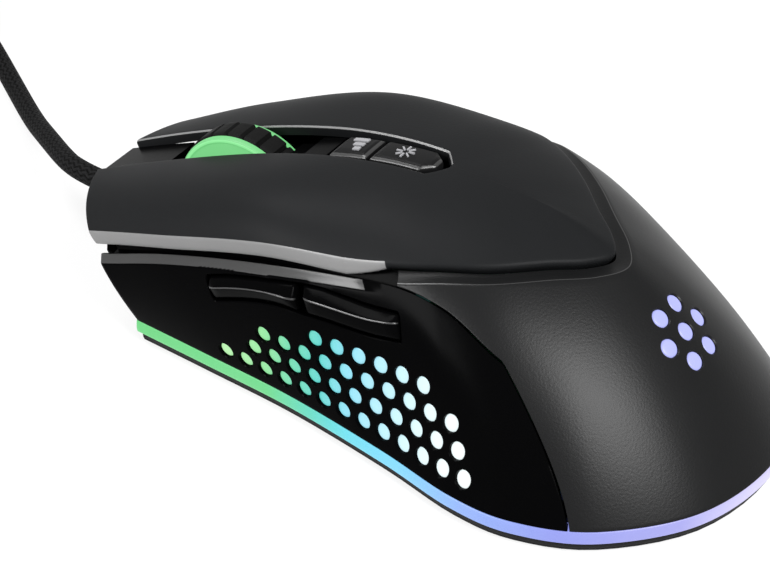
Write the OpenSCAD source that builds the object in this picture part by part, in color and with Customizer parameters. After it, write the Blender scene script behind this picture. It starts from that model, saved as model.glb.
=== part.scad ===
// Wired light-up computer mouse: +Y is the front, where the cord leaves; +Z is up.
// Millimetres. The origin is on the desk under the middle of the body.

/* [Body] */
// Length from the tail to the tips of the main buttons
body_length = 126; // [122:1:132]
// Width across the widest part of the palm
body_width = 68; // [66:1:74]
// Height of the highest point over the desk
body_height = 39; // [38:0.5:44]
// Wall thickness of the palm shell, the side panels and the top cover
shell_wall = 1.8; // [1.4:0.1:2.2]
// Gap between neighbouring moulded shells
shell_gap = 0.35; // [0.3:0.05:0.5]

/* [Base and light ring] */
// Height of the slide feet, from the desk to the underside of the base
foot_height = 0.7; // [0.5:0.1:1]
// Thickness of the floor of the base
base_floor = 1.8; // [1.5:0.1:2]
// Height of the glowing ring between the base and the shells
ring_height = 2.4; // [2:0.1:2.6]
// Depth of the glowing ring, from outside to inside
ring_depth = 2.2; // [1.8:0.1:2.6]

/* [Scroll wheel] */
// Diameter over the ribs of the tyre
wheel_diameter = 25.2; // [24:0.2:26]
// Width over both glowing discs
wheel_width = 7.2; // [6.4:0.2:7.4]
// Distance of the axle in front of the middle of the body
wheel_y = 34.2; // [33:0.2:35]
// Height of the axle over the desk
wheel_z = 19.8; // [19.4:0.2:20.4]
// Number of ribs on the tyre
tyre_ribs = 24; // [16:1:30]
// Diameter of the axle
axle_diameter = 2.4; // [2:0.1:2.6]

/* [Perforated side] */
// Distance between neighbouring light holes
hole_pitch = 4.05; // [3.9:0.05:4.1]
// Diameter of a light hole
hole_diameter = 2.8; // [2.2:0.1:2.9]

/* [Buttons] */
// Travel of the small buttons
button_travel = 0.4; // [0.3:0.05:0.5]
// Clearance of a stem or plunger in its bore, each side
stem_clearance = 0.06; // [0.04:0.01:0.1]
// Diameter of the posts and stems that press the switches
stem_diameter = 2.4; // [2:0.1:2.8]

/* [Electronics] */
// Thickness of the circuit boards
board_thickness = 1.6; // [1.2:0.1:1.6]
// Height of the underside of the main board over the desk
board_z = 6.6; // [6.4:0.1:7]

/* [Cord] */
// Diameter of the braided cord
cord_diameter = 3.8; // [3.4:0.1:4]
// Number of loops in the coil
coil_loops = 11; // [8:1:12]
// Diameter of the middle loop of the coil
coil_diameter = 44; // [43:1:46]

/* [Hidden] */

// Smallest overlap that joins or cuts cleanly
eps = 0.02;

// The body is a skin of ribs. Rib s (0 at the front corner, 8 at the tail) starts on
// the outline, leans on two control points and ends on the ridge. t runs up a rib.
nominal = [34, 126, 39];
scale_x = body_width / 2 / nominal[0];
scale_y = body_length / nominal[1];
scale_z = body_height / nominal[2];
// Height at which the shells stand on the light ring
skirt_z = foot_height + base_floor + ring_height;
last_rib = 8;
outline = [[-22.7, 42], [-24.2, 27], [-26.2, 9], [-30, -10.5], [-33.6, -25],
  [-33.7, -36], [-28.8, -48], [-16.5, -59], [0, -62.8]];
low_hold = [[-26.5, 52, 21], [-28.5, 35, 30], [-28, 13, 37], [-25.5, -9, 26],
  [-26, -21, 21], [-27.5, -32, 17], [-25, -44, 14], [-14.5, -55.5, 11], [0, -59.5, 10]];
high_hold = [[-15, 59, 21], [-18, 44, 29], [-21, 22, 38.4], [-24.5, 0, 40.4],
  [-26, -14, 38.7], [-22, -25, 37.8], [-13, -33, 36.6], [-6.5, -38, 35.5], [0, -40.5, 35]];
// The right half is wider than the left by these shares, on the outline and at the
// shoulder; towards the ridge it is narrower by the share called pinch
flare = [[0, 0], [0, 0], [0, 0.03], [0, 0.2], [0, 0.135], [-0.02, -0.01], [-0.09, -0.09],
  [-0.11, -0.11], [-0.11, -0.11]];
pinch = 0.34;
ridge_foot = [[0, 64.5], [0, 46], [0, 24], [0, 4], [0, -6], [0, -11], [0, -15], [0, -18],
  [0, -20]];
// Height of the ridge every 10 mm, from the front backwards
ridge_front = 66;
ridge_step = 10;
ridge_z = [16.5, 21, 25.2, 29.1, 32.7, 36, 38.1, 38.8, 38.4, 37.2];

function blend4(a, b, c, d, f) = (2 * b + (c - a) * f + (2 * a - 5 * b + 4 * c - d) * f * f
  + (3 * b - a - 3 * c + d) * f * f * f) / 2;
// Smooth value of a table at u; the row after the last one is given by the caller
function along(tab, u, after) = let (n = len(tab), i = min(max(floor(u), 0), n - 2),
    b = tab[i], c = tab[i + 1], a = i > 0 ? tab[i - 1] : 2 * b - c,
    d = i < n - 2 ? tab[i + 2] : after)
  blend4(a, b, c, d, u - i);
function mirrored(v) = [for (i = [0:len(v) - 1]) i == 0 ? -v[i] : v[i]];
function rib_row(tab, s) = along(tab, s, mirrored(tab[last_rib - 1]));
function flare_at(s, t) = let (f = along(flare, s, flare[last_rib - 1]))
  1 + f[0] + (f[1] - f[0]) * (1 - pow(1 - t, 3)) * (1 - pow(t, 6)) - pinch * pow(t, 8);
function ridge_at(y) = along(ridge_z, (ridge_front - y) / ridge_step,
  2 * ridge_z[len(ridge_z) - 1] - ridge_z[len(ridge_z) - 2]);
function bezier(a, b, c, d, t) = pow(1 - t, 3) * a + 3 * t * pow(1 - t, 2) * b
  + 3 * t * t * (1 - t) * c + pow(t, 3) * d;
function half_skin(s, t) = let (o = rib_row(outline, s), y = rib_row(ridge_foot, s)[1],
    p = bezier([o[0], o[1], skirt_z / scale_z], rib_row(low_hold, s),
      rib_row(high_hold, s), [0, y, ridge_at(y)], t))
  [p[0] * scale_x, p[1] * scale_y, p[2] * scale_z];
// Point of the skin; ribs past the tail are the right half
function skin(s, t) = s <= last_rib ? half_skin(s, t)
  : let (r = 2 * last_rib - s, p = half_skin(r, t)) [-p[0] * flare_at(r, t), p[1], p[2]];
function unit(v) = v / norm(v);
function ridge_normal(y) = unit([0, ridge_at(y - 1) - ridge_at(y + 1), 2]);
function level(v) = unit([v[0], v[1], 0]);
ds = 0.03;
dt = 0.006;
// Outward normal of the skin
function skin_normal(s, t) = t > 1 - dt ? ridge_normal(skin(s, 1)[1] / scale_y)
  : unit(cross(skin(s + ds, t) - skin(s - ds, t), skin(s, t + dt) - skin(s, t - dt)));
// Height of the ridge over the desk at a place y of the finished body
function ridge_height(y) = ridge_at(y / scale_y) * scale_z;

// Where the pieces meet, as t for every rib
cover_edge = [0.385, 0.38, 0.4, 0.55, 0.672, 0.728, 0.757, 0.768, 0.77];
panel_edge = [0.285, 0.312, 0.33, 0.495, 0.546, 0.467];
channel_edge = [0.868, 0.888, 0.915, 0.94, 0.952];
function cover_t(s) = along(cover_edge, s, cover_edge[last_rib - 1]);
function panel_t(s) = along(panel_edge, s, 0.39);
function channel_t(s) = along(channel_edge, s, 0.96);
// Width of the bevel along the lower edge of a button, as a share of a rib
bevel_t = 0.045;
bevel_depth = 0.9;
// Rib at which a button flexes, the rib where the bevel's width has run out on the cover,
// and the rib where the channel ends in a point
flex_rib = 2.72;
crease_rib = 3.2;
channel_end = 3.8;
// The side panel ends at this rib on the outline and at this one at its top
panel_end = 5.66;
panel_top_end = 5;
palm_front = 3.3;
// One shell gap as a share of a rib's length and of the spacing of the ribs
rib_length = 55;
rib_spacing = 16;
gap_t = shell_gap / rib_length;
gap_s = shell_gap / rib_spacing;

// Two triangles of a quad
function two(a, b, c, d) = [[a, c, b], [a, d, c]];
// How far the middle of a column swings along s; the rear end of a side panel is curved
function swing(c) = len(c) > 2 ? c[2] : 0;
// Closed shell over the skin. A column is [s, t] at its low and high end and perhaps a
// swing; a row is [share of the column, step in t, inset]. Columns on the ridge are
// joined when the shell is a whole cover.
module shell(cols, rows, wall, ridge = false) {
  n = len(cols) - 1;
  m = len(rows) - 1;
  spots = [for (c = cols) [for (r = rows)
    [c[0][0] + (c[1][0] - c[0][0] + swing(c) * (1 - r[0])) * r[0],
      c[0][1] + (c[1][1] - c[0][1]) * r[0] + r[1], r[2]]]];
  outer = [for (col = spots) for (q = col)
    skin(q[0], q[1]) - q[2] * skin_normal(q[0], q[1])];
  inner = [for (col = spots) for (q = col)
    skin(q[0], q[1]) - wall * (q[1] < dt ? level(skin_normal(q[0], q[1]))
      : skin_normal(q[0], q[1]))];
  half = (n + 1) * (m + 1);
  joined = [for (i = [0:n]) ridge && cols[i][1][1] > 1 - dt];
  function at(i, j) = (j == m && i > n / 2 && joined[i] ? n - i : i) * (m + 1) + j;
  skins = [for (i = [0:n - 1]) for (j = [0:m - 1])
    for (f = concat(two(at(i, j), at(i + 1, j), at(i + 1, j + 1), at(i, j + 1)),
      two(half + at(i, j), half + at(i, j + 1), half + at(i + 1, j + 1),
        half + at(i + 1, j)))) f];
  low_rim = [for (i = [0:n - 1]) for (f = two(at(i, 0), half + at(i, 0),
    half + at(i + 1, 0), at(i + 1, 0))) f];
  high_rim = [for (i = [0:n - 1]) if (!(joined[i] && joined[i + 1]))
    for (f = two(at(i + 1, m), half + at(i + 1, m), half + at(i, m), at(i, m))) f];
  end_rims = [for (j = [0:m - 1]) for (f = concat(
    two(at(0, j + 1), half + at(0, j + 1), half + at(0, j), at(0, j)),
    two(at(n, j), half + at(n, j), half + at(n, j + 1), at(n, j + 1)))) f];
  polyhedron(concat(outer, inner), concat(skins, low_rim, high_rim, end_rims));
}

module both_sides(left = true, right = true) {
  if (left) children();
  if (right) mirror([1, 0, 0]) children();
}

// Plan outline of the body, front rounded, drawn in by the given distance
base_front = 50;
front_steps = 5;
side_steps = 80;
function side_points() = [for (i = [0:side_steps])
  let (p = skin(2 * last_rib * i / side_steps, 0)) [p[0], p[1]]];
function front_points() = let (c = half_skin(0, 0)) [for (i = [1:2 * front_steps - 1])
  let (x = c[0] * (1 - i / front_steps))
    [x, c[1] + (base_front * scale_y - c[1]) * (1 - pow(x / c[0], 2))]];
module plan(inset = 0) {
  front = front_points();
  offset(delta = -inset)
    polygon(concat(side_points(), [for (i = [len(front) - 1:-1:0]) front[i]]));
}

// Places inside
sensor_place = [0, -2];
// The post of a main button hangs from this spot of the skin, over its switch
post_foot = half_skin(1.1, 0.72);
switch_place = [-post_foot[0], post_foot[1]];
boss_front = [16.5, 29];
boss_rear = [20, -34];
boss_radius = 3;
screw_radius = 1.1;
screw_head = 2;
head_height = 1.2;
head_sink = 0.6;
screw_grip = 1.8;
board_top = board_z + board_thickness;

module boss_places() {
  for (p = [boss_front, boss_rear], side = [-1, 1]) translate([side * p[0], p[1], 0]) children();
}

// Longer than the body, for blocks that cut
reach = 150;

// --- Base ---------------------------------------------------------------------
base_inset = 1;
floor_top = foot_height + base_floor;
head_base = floor_top - head_sink;
sensor_window = [8, 10];
// Two pegs that carry the middle of the board
rest_place = [9, -22];
rest_radius = 2;
wall_inset = ring_depth + base_inset;
lip_wall = 1.4;
ring_front = 43.5;
gland_z = 11.5 * scale_z;
gland_radius = 3;
module base_shell() color([0.03, 0.03, 0.033]) {
  difference() {
    union() {
      translate([0, 0, foot_height]) linear_extrude(base_floor) plan(base_inset);
      translate([0, 0, floor_top - eps]) linear_extrude(ring_height + eps) difference() {
        plan(wall_inset);
        plan(wall_inset + lip_wall);
      }
      translate([0, 0, floor_top - eps]) linear_extrude(ring_height + eps) intersection() {
        difference() {
          plan(0);
          plan(wall_inset + eps);
        }
        translate([-reach / 2, ring_front * scale_y + shell_gap]) square(reach);
      }
      boss_places() translate([0, 0, foot_height])
        cylinder(r = boss_radius, h = board_z - foot_height, $fn = 40);
      for (x = [-1, 1]) translate([x * rest_place[0], rest_place[1], floor_top - eps])
        cylinder(r = rest_radius, h = board_z - floor_top + eps, $fn = 32);
    }
    boss_places() {
      cylinder(r = screw_radius + stem_clearance, h = board_z + 1, $fn = 32);
      cylinder(r = screw_head + 0.2, h = head_base + head_height, $fn = 40);
    }
    translate([sensor_place[0] - sensor_window[0] / 2, sensor_place[1] - sensor_window[1] / 2, 0])
      cube([sensor_window[0], sensor_window[1], floor_top + 1]);
    translate([0, 0, foot_height - foot_block]) for (s = [0, 1]) foot_pads(s);
  }
}

// Slide feet lie in shallow pockets of the floor
foot_sink = 0.4;
foot_block = 1;
foot_inset = 5;
// Width of a foot, and its rear and front end
foot_spans = [[32, 37, 49], [52, -62, -48]];
module foot_pads(which) {
  f = foot_spans[which];
  linear_extrude(foot_block + foot_sink) intersection() {
    plan(foot_inset);
    translate([-f[0] / 2, f[1] * scale_y]) square([f[0], (f[2] - f[1]) * scale_y]);
  }
}
module foot(which) intersection() {
  translate([0, 0, foot_height - foot_block]) foot_pads(which);
  translate([-reach / 2, -reach / 2, 0]) cube([reach, reach, foot_height + foot_sink]);
}
module foot_front() color([0.85, 0.85, 0.83]) foot(0);
module foot_rear() color([0.85, 0.85, 0.83]) foot(1);

// Crossed slot of a screw: its length, width and depth
slot_size = [2.4, 0.4, 0.7];
module base_screws() color([0.55, 0.55, 0.57]) boss_places()
  translate([0, 0, head_base]) difference() {
    union() {
      cylinder(r = screw_head, h = head_height, $fn = 36);
      cylinder(r = screw_radius, h = board_top + screw_grip - head_base, $fn = 28);
    }
    for (a = [0, 90]) rotate([0, 0, a]) translate([-slot_size[0] / 2, -slot_size[1] / 2, -1])
      cube([slot_size[0], slot_size[1], slot_size[2] + 1]);
  }

module light_ring() color([0.35, 0.8, 0.75]) translate([0, 0, floor_top])
  linear_extrude(ring_height) intersection() {
    difference() {
      plan(0);
      plan(ring_depth);
    }
    translate([-reach / 2, -reach]) square([reach, reach + ring_front * scale_y]);
  }

// --- Shells -------------------------------------------------------------------
function ramp(a, b, n) = [for (i = [0:n]) a + (b - a) * i / n];
panel_columns = 24;
// The rear end of the side panel curves forwards as it rises
function end_rib(share) = panel_end - (panel_end - panel_top_end) * share * share;
end_t = panel_t(panel_top_end);
// The same columns on the right half, in the order that turns the shell outwards
function on_right(cols) = [for (i = [len(cols) - 1:-1:0]) let (c = cols[i])
  [[2 * last_rib - c[0][0], c[0][1]], [2 * last_rib - c[1][0], c[1][1]], -swing(c)]];
panel_rows = [[0, 0, 0], [0.17, 0, 0], [0.34, 0, 0], [0.51, 0, 0], [0.68, 0, 0],
  [0.84, 0, 0], [0.97, 0, 0], [1, 0, 0.7]];
function side_columns() = [for (a = ramp(0, 1, panel_columns))
  [[panel_end * a, 0], [panel_top_end * a, panel_t(panel_top_end * a)],
    (panel_end - panel_top_end) * a]];
// A flange of the side panel lies under the button's edge and closes the gap from inside.
// It starts above the window of the side buttons
flange_span = [0.17, 3.45];
flange_depth = 2.7;
flange_wall = 3.7;
flange_rows = [[0, 0, 1.6], [0.25, 0, 1.6], [0.4, 0, flange_depth], [0.7, 0, flange_depth],
  [1, 0, flange_depth]];
function flange_columns() = [for (s = ramp(flange_span[0], flange_span[1], 14))
  [[s, max(panel_t(s) - 0.04, thumb_high(s) + 0.016)],
    [s, cover_t(s) - (s < flex_rib ? 0.02 : 0)]]];

// Light holes: four rows of a honeycomb; each row has its first hole and its count
hole_rows = [[0, 13], [1.5, 11], [2, 10], [4.5, 6]];
hole_first = [22.1, 8.1];
module hole_places() for (r = [0:len(hole_rows) - 1]) for (k = [0:hole_rows[r][1] - 1])
  translate([0, hole_first[0] - (hole_rows[r][0] + k) * hole_pitch,
    hole_first[1] + r * hole_pitch * sqrt(3) / 2]) rotate([0, 90, 0]) children();

// The two side buttons: where each starts and ends, and their low and high edge as
// [rib, t] places
forward_span = [1.42, 2.25];
back_span = [2.33, 3.3];
thumb_low_edge = [[1.42, 0.185], [2.29, 0.24], [3.3, 0.36]];
thumb_high_edge = [[1.42, 0.25], [2, 0.3], [2.76, 0.39], [3.3, 0.44]];
function thumb_low(s) = lookup(s, thumb_low_edge);
function thumb_high(s) = lookup(s, thumb_high_edge);
window_gap = 0.012;
window_out = 2;
window_side = 0.03;
thumb_columns = 6;
thumb_rows = [[0, 0, 0], [0.5, 0, 0], [1, 0, 0]];
module thumb_block(span, grow, out, wall) {
  g = grow ? 1 : 0;
  shell([for (s = ramp(span[0] - g * window_side, span[1] + g * window_side, thumb_columns))
    [[s, thumb_low(s) - g * window_gap], [s, thumb_high(s) + g * window_gap]]],
    [for (r = thumb_rows) [r[0], r[1], -out]], wall);
}
// A tray behind the side buttons closes their window and guides their stems
tray_rim = 0.022;
tray_depth = 2.3;
tray_wall = 3.3;
tray_rows = [[0, 0, 1.6], [0.08, 0, 1.6], [0.16, 0, tray_depth], [0.5, 0, tray_depth],
  [0.84, 0, tray_depth], [0.92, 0, 1.6], [1, 0, 1.6]];
function tray_columns() = [for (s = ramp(forward_span[0] - 0.06, back_span[1] + 0.06, 12))
  [[s, thumb_low(s) - tray_rim], [s, thumb_high(s) + tray_rim]]];
module left_side_panel() color([0.02, 0.02, 0.022]) {
  difference() {
    shell(side_columns(), panel_rows, shell_wall);
    translate([-body_width, 0, 0]) hole_places()
      cylinder(d = hole_diameter, h = 0.8 * body_width, $fn = 24);
    thumb_block([forward_span[0], back_span[1]], true, window_out, shell_wall + window_out);
  }
  shell(flange_columns(), flange_rows, flange_wall);
  difference() {
    shell(tray_columns(), tray_rows, tray_wall);
    for (p = [forward_place, back_place]) translate([-body_width, p[1], p[2]])
      rotate([0, 90, 0]) cylinder(r = stem_bore, h = body_width, $fn = 24);
  }
}
module right_side_panel() color([0.02, 0.02, 0.022]) {
  shell(on_right(side_columns()), panel_rows, shell_wall);
  shell(on_right(flange_columns()), flange_rows, flange_wall);
}

diffuser_wall = 1.2;
diffuser_gap = 0.2;
module honeycomb_diffuser() color([0.75, 0.95, 0.9]) {
  deep = shell_wall + diffuser_gap;
  shell([for (s = ramp(1.1, 4.5, 14)) [[s, 0.03],
      [s, min(0.18 + 0.03 * (s - 1.1), thumb_low(s) - 0.03)]]],
    [for (b = ramp(0, 1, 4)) [b, 0, deep]], deep + diffuser_wall);
}

palm_sides = 13;
palm_tail = 10;
// Lower edge of the palm shell on its left half, from the crease to the tail
function palm_low(a) = a < palm_sides - 4 ?
    let (s = palm_front + (panel_top_end - palm_front) * a / (palm_sides - 4))
      [s + gap_s, panel_t(s) + gap_t]
  : a <= palm_sides ? let (b = (palm_sides - a) / 4)
      [end_rib(b) + gap_s, end_t * b]
  : [panel_end + gap_s + (last_rib - panel_end - gap_s) * (a - palm_sides) / palm_tail, 0];
function palm_high(a) = let (s = palm_front + (last_rib - palm_front) * a
    / (palm_sides + palm_tail))
  [s, cover_t(s) - gap_t];
function whole(f) = concat(f, on_right([for (i = [0:len(f) - 2]) f[i]]));
groove_t = 0.045;
groove_depth = 1.1;
palm_rows = [[0, 0, 0], [0.16, 0, 0], [0.32, 0, 0], [0.48, 0, 0], [0.64, 0, 0],
  [0.8, 0, 0], [1, -groove_t, 0], [1, 0, groove_depth]];
module palm_skin() shell(whole([for (a = [0:palm_sides + palm_tail])
  [palm_low(a), palm_high(a)]]), palm_rows, shell_wall + 0.2);

// Seven light pipes in the palm shell: one in the middle and a ring of six
pipe_rib = 0.531;
pipe_ring = 4.8;
pipe_radius = 1.5;
module at_emblem() {
  p = skin(last_rib, pipe_rib);
  n = skin_normal(last_rib, pipe_rib);
  translate(p) rotate([acos(n[2]), 0, 0]) children();
}
module pipe_places() {
  children();
  for (a = [0:60:300]) rotate([0, 0, a]) translate([pipe_ring, 0, 0]) children();
}
module palm_shell() color([0.03, 0.03, 0.033]) difference() {
  palm_skin();
  at_emblem() pipe_places() translate([0, 0, -6])
    cylinder(r = pipe_radius + stem_clearance, h = 12, $fn = 24);
}
lens_drop = 3.7;
lens_plate = 1.6;
module emblem_lens() color([0.55, 0.58, 0.9]) at_emblem() {
  translate([0, 0, -lens_drop - lens_plate]) cylinder(r = pipe_ring + 3, h = lens_plate, $fn = 48);
  pipe_places() translate([0, 0, -lens_drop - eps])
    cylinder(r = pipe_radius, h = lens_drop - 0.1, $fn = 24);
}
module emblem_board() color([0.05, 0.22, 0.12]) at_emblem()
  translate([-7, -7, -lens_drop - lens_plate - board_thickness]) cube([14, 14, board_thickness]);

function cover_low(s) = [s, cover_t(s)
  - bevel_t * max(0, crease_rib - s) / (crease_rib - flex_rib)];
function cover_high(s) = s >= channel_end ? [s, 1]
  : [s, s < 3.4 ? channel_t(s) : channel_t(3.4)
    + (1 - channel_t(3.4)) * (s - 3.4) / (channel_end - 3.4)];
cover_rows = [[0, 0, 0.6], [0, 0.012, 0], [0.2, 0, 0], [0.4, 0, 0], [0.6, 0, 0],
  [0.8, 0, 0], [1, 0, 0]];
cover_stops = concat(ramp(flex_rib + gap_s, 3.4, 4), ramp(3.6, channel_end, 1),
  ramp(4.2, last_rib, 14));
module top_cover() color([0.035, 0.035, 0.038])
  shell(whole([for (s = cover_stops) [cover_low(s), cover_high(s)]]),
    cover_rows, shell_wall, true);

button_columns = 14;
button_rows = [[0, 0, bevel_depth], [0, bevel_t, 0], [0.25, 0, 0], [0.42, 0, 0],
  [0.58, 0, 0], [0.72, 0, 0], [0.86, 0, 0], [1, -0.012, 0], [1, 0, 0.5]];
post_top = post_foot[2] - 0.6 * shell_wall;
function button_shape() = [for (s = ramp(0, flex_rib - gap_s / 2, button_columns))
  [[s, cover_t(s) - bevel_t], [s, channel_t(s)]]];
post_radius_main = stem_diameter / 2 + 0.4;
module button_post(x) translate([x, switch_place[1], plunger_top + post_gap])
  cylinder(r = post_radius_main, h = post_top - plunger_top, $fn = 28);
module left_button() color([0.035, 0.035, 0.038]) {
  shell(button_shape(), button_rows, shell_wall);
  button_post(-switch_place[0]);
}
module right_button() color([0.035, 0.035, 0.038]) {
  shell(on_right(button_shape()), button_rows, shell_wall);
  button_post(switch_place[0]);
}

// --- Middle of the cover --------------------------------------------------------
bezel_drop = 2.2;
bezel_wall = 1.4;
bezel_front = 62.8;
bezel_rear = -2.6;
channel_narrow = 3.7;
channel_wide = 5.2;
// Closed bar along the ridge: from and to in y, depths under the ridge
function ridge_line(a, b, drop, n = 12) = [for (y = ramp(a, b, n))
  [y, ridge_height(y) - drop]];
module ridge_bar(a, b, top, bottom) rotate([90, 0, 90])
  linear_extrude(2 * channel_wide + 2, center = true)
    polygon(concat(ridge_line(a, b, top), ridge_line(b, a, bottom)));
module channel_plan(inset) linear_extrude(body_height) polygon([
  [-channel_wide + inset, bezel_front], [-channel_narrow + inset, 5],
  [-channel_narrow + inset, bezel_rear + 2.4], [0, bezel_rear - 1.6 + inset],
  [channel_narrow - inset, bezel_rear + 2.4], [channel_narrow - inset, 5],
  [channel_wide - inset, bezel_front]]);
wheel_gap = 0.6;
// Rails beside the wheel join the front and rear of the bezel under the buttons
rail_drop = 3.4;
rail_wall = 1.2;
rail_half = 5.9;
island_front = 17.5;
stem_bore = stem_diameter / 2 + stem_clearance;
module centre_bezel() color([0.03, 0.03, 0.033]) difference() {
  union() {
    intersection() {
      union() {
        ridge_bar(bezel_front, 49, 1.2, 4.2);
        ridge_bar(50, bezel_rear - 3, bezel_drop, bezel_drop + bezel_wall);
        ridge_bar(22, island_front, 1, 3);
      }
      channel_plan(0.3);
    }
    intersection() {
      ridge_bar(50, 20.4, rail_drop, rail_drop + rail_wall);
      translate([-rail_half, 0, 0]) cube([2 * rail_half, 60, body_height]);
    }
  }
  translate([0, wheel_y, wheel_z]) rotate([0, 90, 0])
    cylinder(d = wheel_diameter + 2 * wheel_gap, h = wheel_width + 0.8, center = true, $fn = 64);
  for (p = [dpi_place, mode_place]) translate([0, p, 0])
    cylinder(r = stem_bore, h = body_height, $fn = 24);
}
dpi_span = [16.6, 9.5];
mode_span = [9, -2.4];
dpi_place = 13;
mode_place = 4;
cap_top = 0.1;
cap_bottom = bezel_drop - button_travel - 0.15;
stem_gap = 0.05;
module key_cap(span, place, plunger) {
  intersection() {
    ridge_bar(span[0], span[1], -cap_top, cap_bottom);
    channel_plan(0.7);
  }
  translate([0, place, plunger + stem_gap])
    cylinder(r = stem_diameter / 2, h = ridge_height(place) - cap_bottom + 0.3 - plunger, $fn = 24);
}
module dpi_button() color([0.06, 0.06, 0.065]) key_cap(dpi_span, dpi_place, tact_top);
module mode_button() color([0.06, 0.06, 0.065]) key_cap(mode_span, mode_place, tact_top);
mark_height = 0.25;
// Printed marks: three rising bars, and a star of eight rays
module mark_on(place) translate([0, place, ridge_height(place) + cap_top])
  rotate([atan(ridge_at(place + 1) - ridge_at(place)), 0, 0]) translate([0, 0, -0.05])
    linear_extrude(mark_height) children();
module dpi_mark() color([0.7, 0.7, 0.7]) mark_on(dpi_place)
  for (i = [0:2]) translate([-1.9 + 1.4 * i, -1.4]) square([0.9, 1.2 + 0.8 * i]);
module mode_mark() color([0.7, 0.7, 0.7]) mark_on(mode_place)
  for (a = [0:45:315]) rotate(a) translate([0.55, -0.14]) square([1.1, 0.28]);

thumb_rise = 0.7;
thumb_wall = 1.5;
// Middle of a side button on the skin; its stem goes straight in from there
function thumb_place(span) = let (s = (span[0] + span[1]) / 2)
  half_skin(s, (thumb_low(s) + thumb_high(s)) / 2);
module thumb_button(span, place) {
  thumb_block(span, false, thumb_rise, thumb_wall);
  translate([place[0] + thumb_wall / 2, place[1], place[2]]) rotate([0, 90, 0])
    cylinder(r = stem_diameter / 2, h = side_plunger_x - place[0] - thumb_wall / 2, $fn = 24);
}
forward_place = thumb_place(forward_span);
back_place = thumb_place(back_span);
module forward_button() color([0.02, 0.02, 0.022]) thumb_button(forward_span, forward_place);
module back_button() color([0.02, 0.02, 0.022]) thumb_button(back_span, back_place);

// --- Nose under the button tips ---------------------------------------------------
nose_wall = 1.6;
nose_bulge = 8;
nose_columns = 16;
nose_rows = 5;
nose_top_t = 0.27;
// The nose ends beside the side panels, clear of their inner faces
nose_side = 1.3 * shell_wall + shell_gap;
function nose_point(a, t, inset) = let (p = half_skin(0, t))
  [-a * (p[0] + nose_side), p[1] + nose_bulge * scale_y * (1 - a * a) - inset, p[2]];
module nose_skin() {
  m = nose_rows;
  n = nose_columns;
  half = (n + 1) * (m + 1);
  points = [for (inset = [0, nose_wall]) for (a = ramp(-1, 1, n))
    for (t = ramp(0, nose_top_t, m)) nose_point(a, t, inset)];
  function at(i, j) = i * (m + 1) + j;
  polyhedron(points, concat(
    [for (i = [0:n - 1]) for (j = [0:m - 1]) for (f = concat(
      two(at(i, j), at(i, j + 1), at(i + 1, j + 1), at(i + 1, j)),
      two(half + at(i, j), half + at(i + 1, j), half + at(i + 1, j + 1),
        half + at(i, j + 1)))) f],
    [for (i = [0:n - 1]) for (f = concat(
      two(at(i, 0), at(i + 1, 0), half + at(i + 1, 0), half + at(i, 0)),
      two(at(i + 1, m), at(i, m), half + at(i, m), half + at(i + 1, m)))) f],
    [for (j = [0:m - 1]) for (f = concat(
      two(at(0, j + 1), at(0, j), half + at(0, j), half + at(0, j + 1)),
      two(at(n, j), at(n, j + 1), half + at(n, j + 1), half + at(n, j)))) f]));
}
module nose_panel() color([0.025, 0.025, 0.028]) difference() {
  nose_skin();
  along_y(gland_start, gland_radius, gland_end);
}

// --- Scroll wheel -------------------------------------------------------------------
disc_thickness = 1.2;
tyre_width = wheel_width - 2 * disc_thickness;
rib_depth = 0.7;
hub_radius = 8.6;
disc_radius = wheel_diameter / 2 - 0.4;
dome = 0.5;
module at_axle() translate([0, wheel_y, wheel_z]) rotate([0, 90, 0]) children();
module wheel_tyre() color([0.02, 0.02, 0.02]) at_axle() difference() {
  cylinder(d = wheel_diameter, h = tyre_width, center = true, $fn = 72);
  cylinder(r = hub_radius, h = tyre_width + 1, center = true, $fn = 72);
  for (i = [0:tyre_ribs - 1]) rotate([0, 0, i * 360 / tyre_ribs])
    translate([wheel_diameter / 2 + 0.6 - rib_depth, 0, 0])
      cube([1.2, 1.5, tyre_width + 1], center = true);
}
// Domed glowing disc on one side of the wheel
module wheel_disc() at_axle() translate([0, 0, tyre_width / 2]) difference() {
  rotate_extrude($fn = 72) polygon([[0, 0], [disc_radius, 0],
    [disc_radius, disc_thickness - dome], [disc_radius - 1.2, disc_thickness], [0, disc_thickness]]);
  translate([0, 0, -1]) cylinder(d = axle_diameter + 2 * stem_clearance, h = 4, $fn = 32);
}
module wheel_disc_left() color([0.4, 0.85, 0.5]) mirror([1, 0, 0]) wheel_disc();
module wheel_disc_right() color([0.4, 0.85, 0.5]) wheel_disc();
module wheel_hub() color([0.75, 0.8, 0.75]) at_axle() difference() {
  cylinder(r = hub_radius, h = tyre_width, center = true, $fn = 72);
  cylinder(d = axle_diameter, h = tyre_width + 1, center = true, $fn = 32);
  for (i = [0:4]) rotate([0, 0, i * 72]) translate([5.2, 0, 0])
    cylinder(r = 1.9, h = tyre_width + 1, center = true, $fn = 28);
}
axle_left = 6.2;
axle_right = 9.6;
module wheel_axle() color([0.6, 0.6, 0.62]) at_axle() translate([0, 0, -axle_left])
  cylinder(d = axle_diameter, h = axle_left + axle_right, $fn = 32);

carrier_gap = 0.5;
carrier_wall = 1.1;
carrier_in = wheel_width / 2 + carrier_gap;
carrier_out = carrier_in + carrier_wall;
carrier_rear = wheel_y - 18;
carrier_front = wheel_y + 14;
carrier_bottom = wheel_z - 5.8;
carrier_high = 3;
carrier_bar = 1.2;
carrier_bore = axle_diameter / 2 + stem_clearance;
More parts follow.
